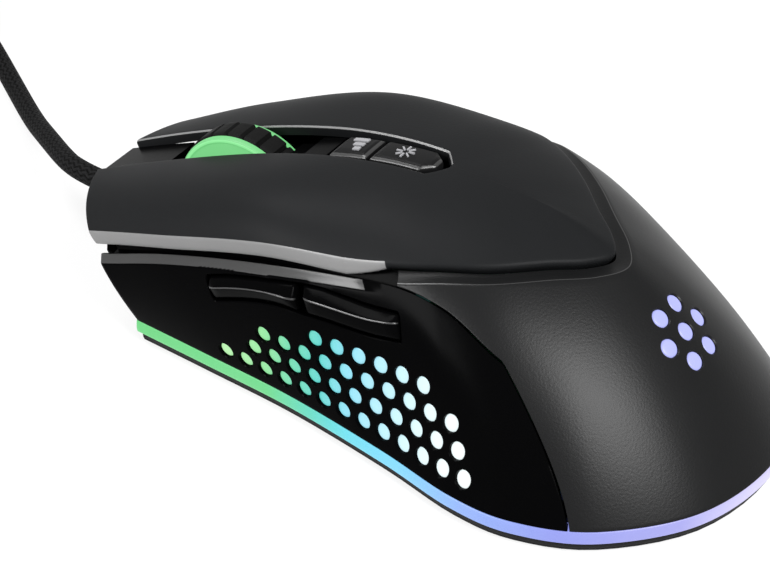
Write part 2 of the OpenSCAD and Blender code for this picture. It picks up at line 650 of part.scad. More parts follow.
// Cheek that holds the axle, and the ear over the spring
cheek_long = 6;
cheek_over = 3;
ear_size = [3.9, 4, 1.5];
module wheel_carrier() color([0.12, 0.12, 0.13]) difference() {
  union() {
    for (x = [carrier_in, -carrier_out]) {
      translate([x, carrier_rear, carrier_bottom])
        cube([carrier_wall, carrier_front - carrier_rear, carrier_high]);
      translate([x, wheel_y - cheek_long / 2, carrier_bottom])
        cube([carrier_wall, cheek_long, wheel_z + cheek_over - carrier_bottom]);
    }
    for (y = [carrier_rear, carrier_front - carrier_bar])
      translate([-carrier_out, y, carrier_bottom])
        cube([2 * carrier_out, carrier_bar, carrier_high]);
    translate([carrier_out - eps, spring_place[1] - ear_size[1] / 2, carrier_bottom])
      cube(ear_size);
  }
  at_axle() cylinder(r = carrier_bore, h = reach, center = true, $fn = 32);
}
encoder_size = [5, 9, 7];
module wheel_encoder() color([0.2, 0.35, 0.25]) difference() {
  translate([carrier_out, wheel_y - encoder_size[1] / 2, wheel_z - encoder_size[2] / 2])
    cube(encoder_size);
  at_axle() cylinder(r = carrier_bore, h = axle_right + 0.3, $fn = 32);
}

// Round tube through a list of points; each ring is square to the path
function path_step(path, i) = unit(path[min(i + 1, len(path) - 1)] - path[max(i - 1, 0)]);
module tube(path, radius, sides) {
  n = len(path);
  points = [for (i = [0:n - 1]) let (t = path_step(path, i),
      u = unit(cross(t, [0, 0, 1])), v = cross(u, t))
    for (k = [0:sides - 1]) path[i] + radius * (cos(360 * k / sides) * u
      + sin(360 * k / sides) * v)];
  polyhedron(points, concat([[for (k = [sides - 1:-1:0]) k]],
    [for (i = [0:n - 2]) for (k = [0:sides - 1])
      for (f = [[i * sides + k, i * sides + (k + 1) % sides, (i + 1) * sides + (k + 1) % sides],
        [i * sides + k, (i + 1) * sides + (k + 1) % sides, (i + 1) * sides + k]]) f],
    [[for (k = [0:sides - 1]) (n - 1) * sides + k]]));
}

spring_radius = 1.6;
spring_wire = 0.3;
spring_turns = 5;
spring_steps = 12;
spring_place = [carrier_out + 1.95, carrier_front - 3];
spring_bottom = board_top + spring_wire;
spring_top = carrier_bottom - spring_wire;
module carrier_spring() color([0.65, 0.65, 0.67])
  tube([for (i = [0:spring_turns * spring_steps]) let (a = 360 * i / spring_steps)
    [spring_place[0] + spring_radius * cos(a), spring_place[1] + spring_radius * sin(a),
      spring_bottom + (spring_top - spring_bottom) * i / spring_turns / spring_steps]],
    spring_wire, 5);

// --- Boards and parts on them --------------------------------------------------------
board_inset = wall_inset + lip_wall + 0.6;
board_rear = -44;
board_front = 52;
// Openings of the board under the wheel and under the sensor
wheel_slot = [8.4, 14];
sensor_eye = [5, 7];
lens_plan = [14, 15];
lens_high = 1.6;
lens_radius = 2.4;
sensor_size = [10, 12];
sensor_high = 2.2;
chip_place = [10.5, -20.5];
chip_side = 7;
chip_high = 1;
module main_board() color([0.03, 0.2, 0.1]) difference() {
  translate([0, 0, board_z]) linear_extrude(board_thickness) intersection() {
    plan(board_inset);
    translate([-reach / 2, board_rear * scale_y])
      square([reach, (board_front - board_rear) * scale_y]);
  }
  centred([0, wheel_y], wheel_slot, body_height);
  boss_places() cylinder(r = screw_radius + stem_clearance, h = body_height, $fn = 32);
  centred(sensor_place, sensor_eye, body_height);
}
// Block that stands on the desk, centred on a place
module centred(place, size, high) translate([place[0] - size[0] / 2, place[1] - size[1] / 2, 0])
  cube([size[0], size[1], high]);
module sensor_lens() color([0.8, 0.85, 0.9]) translate([0, 0, floor_top]) {
  centred(sensor_place, lens_plan, lens_high);
  translate([sensor_place[0], sensor_place[1], 0])
    cylinder(r = lens_radius, h = board_z - floor_top, $fn = 40);
}
module sensor_chip() color([0.03, 0.03, 0.03]) translate([0, 0, board_top])
  centred(sensor_place, sensor_size, sensor_high);
module controller_chip() color([0.03, 0.03, 0.03]) translate([0, 0, board_top])
  centred(chip_place, [chip_side, chip_side], chip_high);
led_side = 3;
led_high = 1.2;
led_places = [[18.4, 10], [18.9, -4], [22, -16], [21, -26], [10, -41]];
module ring_leds() color([0.95, 0.95, 0.9]) both_sides()
  for (p = led_places) translate([0, 0, board_top])
    centred([p[0] * scale_x, p[1] * scale_y], [led_side, led_side], led_high);

// Snap switch with a plunger on top; the body stands on the main board
switch_size = [5.8, 12.8, 6.5];
// The plunger sits in front of the middle of the switch
switch_offset = 1.9;
plunger_radius = 1;
plunger_rise = 0.7;
plunger_depth = 2.4;
plunger_room = 0.7;
post_gap = 0.05;
switch_top = board_top + switch_size[2];
plunger_top = switch_top + plunger_rise;
module snap_switch(x) translate([x, switch_place[1], board_top]) difference() {
  translate([-switch_size[0] / 2, -switch_size[1] / 2 - switch_offset, 0]) cube(switch_size);
  translate([0, 0, switch_size[2] - plunger_depth - plunger_room])
    cylinder(r = plunger_radius + stem_clearance, h = 10, $fn = 24);
}
module snap_plunger(x) translate([x, switch_place[1], switch_top - plunger_depth])
  cylinder(r = plunger_radius, h = plunger_depth + plunger_rise, $fn = 24);
module left_switch() color([0.1, 0.1, 0.11]) snap_switch(-switch_place[0]);
module right_switch() color([0.1, 0.1, 0.11]) snap_switch(switch_place[0]);
module left_plunger() color([0.7, 0.12, 0.1]) snap_plunger(-switch_place[0]);
module right_plunger() color([0.7, 0.12, 0.1]) snap_plunger(switch_place[0]);

// Small square switch, plunger along +Z, at the origin
tact_size = 4.6;
tact_rise = 0.75;
tact_depth = 1.4;
tact_room = 0.6;
module tact_body(high) difference() {
  translate([-tact_size / 2, -tact_size / 2, 0]) cube([tact_size, tact_size, high]);
  translate([0, 0, high - tact_depth - tact_room])
    cylinder(r = plunger_radius + stem_clearance, h = high, $fn = 24);
}
module tact_plunger(high) translate([0, 0, high - tact_depth])
  cylinder(r = plunger_radius, h = tact_depth + tact_rise, $fn = 24);
wheel_switch_y = carrier_rear + carrier_bar / 2;
wheel_switch_high = carrier_bottom - board_top - tact_rise - post_gap;
module at_wheel_switch() translate([0, wheel_switch_y, board_top]) children();
module wheel_switch() color([0.1, 0.1, 0.11]) at_wheel_switch() tact_body(wheel_switch_high);
module wheel_plunger() color([0.85, 0.85, 0.8]) at_wheel_switch()
  tact_plunger(wheel_switch_high);

top_board_z = 28.8 * scale_z;
top_board_thickness = 1.2;
top_tact_high = 2.4;
tact_top = top_board_z + top_board_thickness + top_tact_high + tact_rise;
top_posts = [[6.5, 15], [6.5, -4]];
top_board_size = [17, 25, top_board_thickness];
top_board_rear = -7;
module top_board() color([0.03, 0.2, 0.1])
  translate([-top_board_size[0] / 2, top_board_rear, top_board_z]) cube(top_board_size);
post_radius = 1.4;
sleeve_radius = 2.7;
sleeve_high = 4;
// Posts under the top board, and threaded sleeves that take the screws of the base
module top_board_posts() color([0.12, 0.12, 0.13]) {
  both_sides() for (p = top_posts) translate([p[0], p[1], board_top])
    cylinder(r = post_radius, h = top_board_z - board_top, $fn = 28);
  boss_places() translate([0, 0, board_top]) difference() {
    cylinder(r = sleeve_radius, h = sleeve_high, $fn = 36);
    translate([0, 0, -1]) cylinder(r = screw_radius, h = screw_grip + 1, $fn = 28);
  }
}
module at_top(y) translate([0, y, top_board_z + top_board_thickness]) children();
module dpi_switch() color([0.1, 0.1, 0.11]) at_top(dpi_place) tact_body(top_tact_high);
module dpi_plunger() color([0.85, 0.85, 0.8]) at_top(dpi_place) tact_plunger(top_tact_high);
module mode_switch() color([0.1, 0.1, 0.11]) at_top(mode_place) tact_body(top_tact_high);
module mode_plunger() color([0.85, 0.85, 0.8]) at_top(mode_place) tact_plunger(top_tact_high);

// Upright board at the thumb side
side_board_x = -14 * scale_x;
side_board_margin = 7;
side_board_rise = 3;
side_tact_high = 3.2;
side_face_x = side_board_x - board_thickness;
side_plunger_x = side_face_x - side_tact_high - tact_rise - stem_gap;
module side_board() color([0.03, 0.2, 0.1])
  translate([side_face_x, back_place[1] - side_board_margin, board_top])
    cube([board_thickness, forward_place[1] - back_place[1] + 2 * side_board_margin,
      back_place[2] + side_board_rise - board_top]);
module at_side(p) translate([side_face_x, p[1], p[2]]) rotate([0, -90, 0]) children();
module forward_switch() color([0.1, 0.1, 0.11]) at_side(forward_place) tact_body(side_tact_high);
module forward_plunger() color([0.85, 0.85, 0.8]) at_side(forward_place)
  tact_plunger(side_tact_high);
module back_switch() color([0.1, 0.1, 0.11]) at_side(back_place) tact_body(side_tact_high);
module back_plunger() color([0.85, 0.85, 0.8]) at_side(back_place)
  tact_plunger(side_tact_high);

// --- Cord ------------------------------------------------------------------------------
cord_radius = cord_diameter / 2;
// The rubber gland goes through the nose, with a flange inside it
nominal_nose = 55.3;
nose_outer = nominal_nose * scale_y;
cord_shift = nose_outer - nominal_nose;
gland_start = nose_outer - 6.6;
gland_end = nose_outer + 4.7;
flange = 1.2;
flange_over = 0.7;
// Depth of the cord in the gland; behind it only its core goes on
cord_stop = nose_outer - 0.3;
module along_y(y, r, high) translate([0, y, gland_z]) rotate([-90, 0, 0])
  cylinder(r = r, h = high, $fn = 40);
module cable_gland() color([0.02, 0.02, 0.02]) difference() {
  union() {
    along_y(gland_start, gland_radius - stem_clearance, nose_outer + 1 - gland_start);
    along_y(gland_start, gland_radius + flange_over, flange);
    along_y(nose_outer, gland_radius - 0.2, gland_end - nose_outer);
  }
  along_y(cord_stop, cord_radius, gland_end);
  along_y(gland_start - 1, lead_radius, gland_end);
}
// The cord's route over the desk; the first point is inside the gland
route = [[0, 56, 11.5], [0, 60, 11.5], [0, 65, 11.5], [0.8, 70, 11.2], [2.8, 75, 10.3],
  [6, 80, 9], [9.6, 85, 7.6], [13.3, 90, 6.1], [17, 95, 4.7], [21.3, 100.6, 3.5],
  [25.8, 106.4, 2.6], [30.4, 112.6, 2.2], [34.8, 118.8, 2.2], [39, 125, 2.4],
  [43, 131.2, 2.8], [46.6, 136.8, 3.2]];
// The route keeps with the gland when the body is longer or higher
route_path = [for (p = route) [p[0], p[1] + cord_shift,
  p[2] + (gland_z - route[0][2]) * (p[2] - cord_radius) / (route[0][2] - cord_radius)]];
tie_angle = 240;
tie_width = 9;
tie_wall = 1;
tie_gap = 0.15;
// The coil rests on the lower bar of its tie
coil_z = cord_radius + tie_wall + 2 * tie_gap;
coil_start_angle = -33;
coil_pitch = cord_diameter + 0.6;
coil_layers = 4;
layer_turns = coil_loops / coil_layers;
coil_outer = coil_diameter / 2 + coil_pitch * (layer_turns - 0.5) / 2;
// Place on the desk where the cord runs into the outer loop
coil_entry = [50.3, 144.6];
coil_centre = coil_entry + [0, cord_shift]
  - coil_outer * [cos(coil_start_angle), sin(coil_start_angle)];
rings_per_loop = 24;
function ease(x) = x * x * (3 - 2 * x);
// Radius and height of the coil after q turns: straight spiral, then half a turn
// in which the spiral reverses and climbs one layer
function coil_layer(q) = min(floor(q / layer_turns), coil_layers - 1);
function coil_radius(q) = let (k = coil_layer(q), w = q - k * layer_turns,
    lin = layer_turns - 0.5, x = max(0, w - lin), inward = k % 2 == 0,
    last = k >= coil_layers - 1,
    travel = last ? w : min(w, lin) + (x > 0 ? x - 2 * x * x : 0))
  inward ? coil_outer - coil_pitch * travel
    : coil_outer - coil_pitch * lin + coil_pitch * travel;
function coil_height(q) = let (k = coil_layer(q), w = q - k * layer_turns,
    x = max(0, w - layer_turns + 0.5))
  coil_z + coil_pitch * (k + (k < coil_layers - 1 ? ease(min(1, 2 * x)) : 0));
function coil_point(q) = let (a = coil_start_angle + 360 * q)
  [coil_centre[0] + coil_radius(q) * cos(a), coil_centre[1] + coil_radius(q) * sin(a),
    coil_height(q)];
coil_steps = coil_loops * rings_per_loop;
coil_path = [for (i = [0:coil_steps]) coil_point(i / rings_per_loop)];
coil_head = path_step([coil_path[0], coil_path[1]], 0);
coil_start = coil_path[0] - coil_head * cord_diameter;
// The lead to the plug slides down the outside of the coil for over half a turn
lead_turn = 213;
lead_swing = 2.5;
lead_steps_round = 14;
function lead_point(x) = let (a = coil_start_angle + lead_turn * x,
    r = coil_radius(coil_loops) + lead_swing * ease(min(1, 2.5 * x)))
  [coil_centre[0] + r * cos(a), coil_centre[1] + r * sin(a),
    coil_height(coil_loops) + (cord_radius + 0.3 - coil_height(coil_loops)) * ease(x)];
// Then it lies on the desk and rises to the middle of the plug
lead_tail = [[-0.3, -5.5, 0.1], [-1, -11, 0.5], [-1.8, -16.5, 1.2], [-2.3, -21.5, 1.7],
  [-2.5, -26, 1.82], [-2.5, -30, 1.82]];
lead_path = concat([for (i = [1:lead_steps_round]) lead_point(i / lead_steps_round)],
  [for (p = lead_tail) lead_point(1) + p]);
wound_path = concat([coil_start], coil_path, lead_path);
// Least gap between places of the wound cord that are over half a loop apart
coil_gap = min([for (i = [0:len(wound_path) - 1])
  for (j = [i + rings_per_loop / 2:1:len(wound_path) - 1])
    norm(wound_path[i] - wound_path[j])]) - cord_diameter;
module cord() color([0.03, 0.03, 0.03])
  tube(concat(route_path, [coil_start - coil_head * cord_diameter, coil_start]), cord_radius, 8);
module cord_coil() color([0.03, 0.03, 0.03]) {
  echo(coil_gap = coil_gap);
  tube(wound_path, cord_radius, 6);
}
plug_start = lead_path[len(lead_path) - 1];
// Grip of the plug: width, length, height and the radius of its long edges
plug_wide = 12;
plug_long = 20;
plug_high = 8;
plug_round = 1.5;
plug_neck = 5;
module rounded_block() {
  square([plug_wide - 2 * plug_round, plug_high], center = true);
  square([plug_wide, plug_high - 2 * plug_round], center = true);
  for (x = [-1, 1], y = [-1, 1])
    translate([x * (plug_wide / 2 - plug_round), y * (plug_high / 2 - plug_round)])
      circle(r = plug_round, $fn = 24);
}
module at_plug() translate(plug_start) rotate([0, 0, 180]) children();
module plug_body() color([0.03, 0.03, 0.03]) at_plug() rotate([-90, 0, 0]) {
  cylinder(r = cord_radius + 0.7, h = plug_neck + 1, $fn = 32);
  translate([0, 0, plug_neck]) linear_extrude(plug_long) rounded_block();
}
// Metal sleeve of the connector, open at its end above a plastic tongue
sleeve_size = [12, 12.5, 4.5];
sleeve_wall = 0.4;
sleeve_slot = 1.9;
module plug_shell() color([0.7, 0.7, 0.72])
  at_plug() translate([-sleeve_size[0] / 2, plug_neck + plug_long, -sleeve_size[2] / 2])
    difference() {
      cube(sleeve_size);
      translate([sleeve_wall, sleeve_wall, sleeve_wall])
        cube([sleeve_size[0] - 2 * sleeve_wall, sleeve_size[1], sleeve_slot]);
    }
tie_in = coil_diameter / 2 - coil_pitch * (layer_turns - 0.5) / 2 - cord_radius
  - coil_pitch / 8 - tie_gap;
tie_out = coil_outer + coil_pitch / 2 + cord_radius + tie_gap;
tie_low = coil_z - cord_radius - tie_gap;
tie_high = coil_z + coil_pitch * (coil_layers - 1) + cord_radius + tie_gap;
module cord_tie() color([0.05, 0.05, 0.055])
  translate([coil_centre[0], coil_centre[1], 0]) rotate([0, 0, tie_angle]) difference() {
    translate([tie_in - tie_wall, -tie_width / 2, tie_low - tie_wall])
      cube([tie_out - tie_in + 2 * tie_wall, tie_width, tie_high - tie_low + 2 * tie_wall]);
    translate([tie_in, -tie_width, tie_low])
      cube([tie_out - tie_in, 2 * tie_width, tie_high - tie_low]);
  }
// Thin lead from the gland to the connector on the board
lead_radius = 1.2;
// It passes midway between the wheel's carrier and the left switch
lead_x = (carrier_out + switch_place[0] - switch_size[0] / 2) / 2;
lead_z = board_top + 2;
// Each point: share of the way to the side, distance in front of the nose, share of
// the way down from the gland
lead_steps = [[0, -0.3, 0], [0, -6.2, 0], [0.05, -7.4, 0.05], [0.2, -8.6, 0.2],
  [0.45, -9.8, 0.46], [0.7, -11.2, 0.75], [0.9, -13.2, 0.92], [1, -16.3, 1], [1, -20.3, 1],
  [1, -23.7, 1]];
lead_route = [for (p = lead_steps)
  [-p[0] * lead_x, nose_outer + p[1], gland_z + (lead_z - gland_z) * p[2]]];
lead_end = lead_route[len(lead_route) - 1];
connector_size = [5, 6, 4];
module inner_lead() color([0.2, 0.2, 0.22]) tube(lead_route, lead_radius, 8);
module cord_connector() color([0.9, 0.9, 0.85])
  translate([lead_end[0] - connector_size[0] / 2, lead_end[1] - connector_size[1], board_top])
    cube(connector_size);

base_shell();
light_ring();
foot_front();
foot_rear();
base_screws();
left_side_panel();
right_side_panel();
honeycomb_diffuser();
palm_shell();
emblem_lens();
emblem_board();
top_cover();
centre_bezel();
left_button();
right_button();
dpi_button();
dpi_mark();
mode_button();
mode_mark();
forward_button();
back_button();
wheel_tyre();
wheel_disc_left();
wheel_disc_right();
wheel_hub();
wheel_axle();
wheel_carrier();
wheel_encoder();
carrier_spring();
main_board();
top_board();
top_board_posts();
side_board();
sensor_chip();
sensor_lens();
ring_leds();
controller_chip();
left_switch();
left_plunger();
right_switch();
right_plunger();
wheel_switch();
wheel_plunger();
dpi_switch();
dpi_plunger();
mode_switch();
mode_plunger();
forward_switch();
forward_plunger();
back_switch();
back_plunger();
nose_panel();
cable_gland();
cord_connector();
inner_lead();
cord();
cord_coil();
cord_tie();
plug_body();
plug_shell();
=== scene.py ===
"""Wired light-up computer mouse, dressed around its CAD model."""
import math

import bmesh
import bpy
import numpy as np
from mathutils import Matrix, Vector
from mathutils.geometry import delaunay_2d_cdt


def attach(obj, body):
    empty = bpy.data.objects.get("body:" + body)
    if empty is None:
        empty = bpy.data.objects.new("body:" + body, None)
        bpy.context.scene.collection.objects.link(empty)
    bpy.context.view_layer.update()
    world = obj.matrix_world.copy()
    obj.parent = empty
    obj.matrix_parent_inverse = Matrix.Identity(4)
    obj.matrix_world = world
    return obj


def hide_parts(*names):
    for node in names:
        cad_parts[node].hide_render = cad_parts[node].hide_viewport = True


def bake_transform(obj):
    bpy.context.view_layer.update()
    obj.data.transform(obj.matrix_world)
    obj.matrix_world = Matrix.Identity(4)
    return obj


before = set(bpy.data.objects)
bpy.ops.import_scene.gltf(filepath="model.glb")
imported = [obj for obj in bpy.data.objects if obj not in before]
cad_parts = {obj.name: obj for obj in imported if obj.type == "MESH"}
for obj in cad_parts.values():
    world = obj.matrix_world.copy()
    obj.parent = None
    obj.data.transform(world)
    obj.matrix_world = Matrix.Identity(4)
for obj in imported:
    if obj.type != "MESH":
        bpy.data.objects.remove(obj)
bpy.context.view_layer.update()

MM = 0.001

# --- Camera --------------------------------------------------------------------------
PHOTO_WIDTH = 770
CAMERA_AZIMUTH, CAMERA_ELEVATION = math.radians(-57.5523), math.radians(35.3382)
CAMERA_DISTANCE = 399.325
CAMERA_TARGET = np.array([-11.1556, 0.7673, 20.0])
FOCAL_PIXELS = 2533.12
camera_back = np.array([math.sin(CAMERA_AZIMUTH) * math.cos(CAMERA_ELEVATION),
                        -math.cos(CAMERA_AZIMUTH) * math.cos(CAMERA_ELEVATION),
                        math.sin(CAMERA_ELEVATION)])


def add_camera():
    """Camera at the photograph's viewing angle, found by fitting the mouse's own places."""
    data = bpy.data.cameras.new("camera")
    data.sensor_width = 36.0
    data.lens = data.sensor_width * FOCAL_PIXELS / PHOTO_WIDTH
    camera = bpy.data.objects.new("camera", data)
    camera.location = (CAMERA_TARGET + CAMERA_DISTANCE * camera_back) * MM
    camera.rotation_mode = "QUATERNION"
    camera.rotation_quaternion = (-Vector(camera_back)).to_track_quat("-Z", "Y")
    bpy.context.scene.collection.objects.link(camera)
    bpy.context.scene.camera = camera


add_camera()


# --- Materials -------------------------------------------------------------------------
def linear(r, g, b):
    """Linear colour of a colour as it looks on a screen."""
    channels = (c / 12.92 if c <= 0.04045 else ((c + 0.055) / 1.055) ** 2.4 for c in (r, g, b))
    return tuple(channels) + (1.0,)


class Wire:
    """A socket of a finish; arithmetic on it adds Math nodes."""

    def __init__(self, finish, socket):
        self.finish, self.socket = finish, socket

    def math(self, operation, *others):
        values = dict(enumerate((self,) + others))
        return self.finish.node("Math", {"operation": operation}, values)

    def __add__(self, other): return self.math("ADD", other)
    __radd__ = __add__
    def __mul__(self, other): return self.math("MULTIPLY", other)
    __rmul__ = __mul__
    def __sub__(self, other): return self.math("SUBTRACT", other)
    def __truediv__(self, other): return self.math("DIVIDE", other)
    def __pow__(self, other): return self.math("POWER", other)
    def sine(self): return self.math("SINE")
    def size(self): return self.math("ABSOLUTE")
    def over(self, limit): return self.math("GREATER_THAN", limit)

    def ramp(self, *stops, interpolation="LINEAR"):
        return self.finish.node("ValToRGB", {"stops": stops, "interpolation": interpolation},
            {"Fac": self})

    def span(self, low, high, to_low=0.0, to_high=1.0):
        return self.finish.node("MapRange", {"clamp": True}, {"Value": self, "From Min": low,
            "From Max": high, "To Min": to_low, "To Max": to_high})


class Finish:
    """A material, or the world, built node by node."""

    def __init__(self, name, kind="materials"):
        self.material = getattr(bpy.data, kind).new(name)
        self.material.use_nodes = True
        self.tree = self.material.node_tree
        self.tree.nodes.clear()

    def node(self, kind, settings=None, values=None, out=0):
        """Adds a node: its settings first, then the values or wires of its sockets."""
        made = self.tree.nodes.new("ShaderNode" + kind)
        for key, value in (settings or {}).items():
            if key == "stops":
                while len(made.color_ramp.elements) < len(value):
                    made.color_ramp.elements.new(0.5)
                for element, (place, colour) in zip(made.color_ramp.elements, value):
                    element.position, element.color = place, colour
            elif key == "interpolation":
                made.color_ramp.interpolation = value
            else:
                setattr(made, key, value)
        for key, value in (values or {}).items():
            if isinstance(value, Wire):
                self.tree.links.new(value.socket, made.inputs[key])
            else:
                made.inputs[key].default_value = value
        return Wire(self, made.outputs[out]) if len(made.outputs) else None

    def outputs(self, wire, *keys):
        """Other outputs of the node that a wire comes from."""
        return [Wire(self, wire.socket.node.outputs[key]) for key in keys]

    def place(self, out="Object"):
        return self.node("TexCoord", out=out)

    def axes(self, vector=None):
        return self.outputs(self.node("SeparateXYZ", None, {0: vector or self.place()}), 0, 1, 2)

    def noise(self, scale, detail=3.0, vector=None):
        return self.node("TexNoise", None, {"Vector": vector or self.place(), "Scale": scale,
            "Detail": detail})

    def mix(self, share, first, second):
        mixed = self.node("Mix", {"data_type": "RGBA"}, {0: share, 6: first, 7: second})
        return self.outputs(mixed, 2)[0]

    def clear_rays(self):
        """1 where the camera looks, or a reflected or transmitted ray, and 0 elsewhere."""
        camera, glossy, through = self.outputs(self.node("LightPath"), "Is Camera Ray", "Is Glossy Ray",
            "Is Transmission Ray")
        return camera.math("MAXIMUM", glossy).math("MAXIMUM", through)

    def surface(self, bump=None, depth=0.0001, **sockets):
        """Closes the finish with a Principled shader; a bump is a height wire and a depth."""
        values = {key.replace("_", " "): value for key, value in sockets.items()}
        if bump is not None:
            values["Normal"] = self.node("Bump", None, {"Height": bump, "Distance": depth,
                "Strength": 1.0})
        self.node("OutputMaterial", None, {0: self.node("BsdfPrincipled", None, values)})
        return self.material


def scaled(colour, factor):
    """A colour times a factor, as opaque as before."""
    return [c * factor for c in colour[:3]] + [1.0]


def moulded(name, colour, rough, grain=0.00003, grain_scale=2600.0, spread=0.05, level=0.3, coat=0.0):
    """Moulded plastic: even colour, slightly cloudy gloss and a fine spark-eroded grain."""
    f = Finish(name)
    cloud = f.noise(60.0)
    fine = f.noise(grain_scale, 2.0)
    tint = f.mix(cloud, scaled(colour, 0.88), scaled(colour, 1.12))
    return f.surface(fine, grain, Base_Color=tint, Roughness=rough - spread / 2 + spread * cloud,
        Specular_IOR_Level=level, Coat_Weight=coat, Coat_Roughness=0.12)


def metal(name, colour, rough, scale=(900.0, 60.0, 900.0)):
    """Drawn metal: faint scratches along one direction."""
    f = Finish(name)
    scratches = f.noise(1.0, 4.0, f.node("Mapping", None, {"Vector": f.place(), "Scale": scale}))
    tint = f.mix(scratches, scaled(colour, 0.8), colour)
    return f.surface(scratches, 0.00002, Base_Color=tint, Metallic=1.0,
        Roughness=rough - 0.08 + 0.16 * scratches)


def glowing(name, stops, strength=0.9, rough=0.35, mottle=0.06):
    """Lit milky plastic. The colours follow the mouse from front (0) to tail (1)."""
    f = Finish(name)
    colours = f.axes()[1].span(0.045, -0.063).ramp(*stops)
    cloud = f.noise(180.0)
    seen = f.mix(cloud * mottle, colours, (1.0, 1.0, 1.0, 1.0))
    body = f.mix(0.9, colours, (0.02, 0.02, 0.02, 1.0))
    return f.surface(Base_Color=body, Roughness=rough + 0.1 * cloud, Emission_Color=seen,
        Emission_Strength=strength, Specular_IOR_Level=0.3)


def even(colour):
    """Stops of a light that has one screen colour all along."""
    return [(place, linear(*colour)) for place in (0.0, 1.0)]


def run(*places):
    """Ramp stops from pairs of a y in mm and a screen colour."""
    return [((45.0 - y) / 108.0, linear(*colour)) for y, colour in places]


RING_RUN = run((39, (0.32, 0.77, 0.42)), (14, (0.33, 0.78, 0.47)), (5, (0.25, 0.78, 0.68)),
    (-3, (0.3, 0.8, 0.86)), (-14, (0.42, 0.78, 0.93)), (-27, (0.5, 0.64, 0.91)),
    (-42, (0.5, 0.54, 0.87)), (-57, (0.6, 0.6, 0.87)), (-62.5, (0.78, 0.76, 0.92)))
HOLE_RUN = run((23, (0.66, 0.88, 0.62)), (14, (0.5, 0.83, 0.55)), (9, (0.36, 0.79, 0.62)),
    (3, (0.27, 0.77, 0.74)), (-3, (0.5, 0.82, 0.9)), (-12, (0.72, 0.89, 0.93)),
    (-20, (0.87, 0.94, 0.95)), (-28, (0.93, 0.96, 0.96)))


def braided(name, around, along_scale):
    """Woven sleeve of a cord: two sets of crossing slanted strands, from the tube's own map."""
    f = Finish(name)
    u, v, _ = f.axes(f.place("UV"))
    one = (u * along_scale + v * around) * (2 * math.pi)
    two = (u * along_scale - v * around) * (2 * math.pi)
    # Over and under: the set on top changes with the sign of the product
    top = (one * 0.5).sine() * (two * 0.5).sine()
    height = ((one.sine() * 0.5 + 0.5) ** 0.6 * top.span(-0.3, 0.3)
              + (two.sine() * 0.5 + 0.5) ** 0.6 * top.span(0.3, -0.3))
    fuzz = f.noise(3000.0)
    # Painted shade: the colour follows the weave's height, near black in the low places between and under the
    # strands.
    tint = f.mix(height, linear(0.01, 0.01, 0.01), linear(0.09, 0.09, 0.092))
    return f.surface(height + 0.15 * fuzz, 0.00022, Base_Color=tint, Roughness=0.5 + 0.25 * fuzz,
        Specular_IOR_Level=0.03)


cover_satin = moulded("cover_satin", linear(0.06, 0.063, 0.067), 0.52, 0.00002, level=0.07)
palm_satin = moulded("palm_satin", linear(0.04, 0.041, 0.043), 0.37, 0.00002, level=0.13)
side_gloss = moulded("side_gloss", linear(0.01, 0.01, 0.011), 0.2, 0.000004, level=0.01, spread=0.04)
# Painted highlights: the next two finishes are the black plastics given a grey colour. They go on edges, ledges
# and crests where bright lines of light show. Their higher specular level also reflects the lamps for real.
painted_highlight_gloss = moulded("painted_highlight_gloss", linear(0.12, 0.12, 0.12), 0.34, 0.000006, level=0.5)
painted_highlight_bevel = moulded("painted_highlight_bevel", linear(0.37, 0.37, 0.37), 0.4, 0.00001, level=0.6)
bezel_gloss = moulded("bezel_gloss", linear(0.01, 0.01, 0.011), 0.25, 0.000004, level=0.02)
key_satin = moulded("key_satin", linear(0.06, 0.06, 0.062), 0.4, 0.00001, level=0.06)
base_plastic = moulded("base_plastic", linear(0.05, 0.05, 0.052), 0.5, 0.00004, level=0.15)
foot_slip = moulded("foot_slip", linear(0.82, 0.82, 0.79), 0.4, 0.00001)
ring_light = glowing("ring_light", RING_RUN, 0.93)
hole_light = glowing("hole_light", HOLE_RUN, 0.97)
wheel_light = glowing("wheel_light", even((0.4, 0.8, 0.46)), 0.85, 0.45)
wheel_rim_light = glowing("wheel_rim_light", even((0.5, 0.88, 0.55)), 0.95)
emblem_light = glowing("emblem_light", even((0.66, 0.68, 0.95)), 0.95)
tyre_rubber = moulded("tyre_rubber", linear(0.04, 0.04, 0.04), 0.6, 0.00006, 1500.0, level=0.06)
gland_rubber = moulded("gland_rubber", linear(0.05, 0.05, 0.05), 0.6, 0.00005, 1800.0, level=0.15)
mark_paint = moulded("mark_paint", linear(0.5, 0.5, 0.51), 0.5, 0.00001)
board_lacquer = moulded("board_lacquer", linear(0.05, 0.3, 0.16), 0.3, 0.00003, 700.0, 0.1, 0.5)
switch_case = moulded("switch_case", linear(0.09, 0.09, 0.095), 0.5)
frame_plastic = moulded("frame_plastic", linear(0.2, 0.2, 0.21), 0.5)
light_plastic = moulded("light_plastic", linear(0.85, 0.86, 0.84), 0.4)
red_plastic = moulded("red_plastic", linear(0.7, 0.12, 0.08), 0.35)
lens_plastic = moulded("lens_plastic", linear(0.75, 0.8, 0.85), 0.1, level=0.5)
lead_sleeve = moulded("lead_sleeve", linear(0.16, 0.16, 0.17), 0.5)
plug_satin = moulded("plug_satin", linear(0.13, 0.13, 0.135), 0.45, 0.00003, level=0.35)
strap_weave = moulded("strap_weave", linear(0.09, 0.09, 0.095), 0.85, 0.00015, 1400.0)
screw_steel = metal("screw_steel", linear(0.6, 0.6, 0.62), 0.35)
axle_steel = metal("axle_steel", linear(0.75, 0.75, 0.77), 0.25)
plug_steel = metal("plug_steel", linear(0.8, 0.8, 0.82), 0.28)
BRAID_STRANDS, BRAID_PITCH = 12.0, 0.0019
cord_braid = braided("cord_braid", BRAID_STRANDS, 1 / BRAID_PITCH)

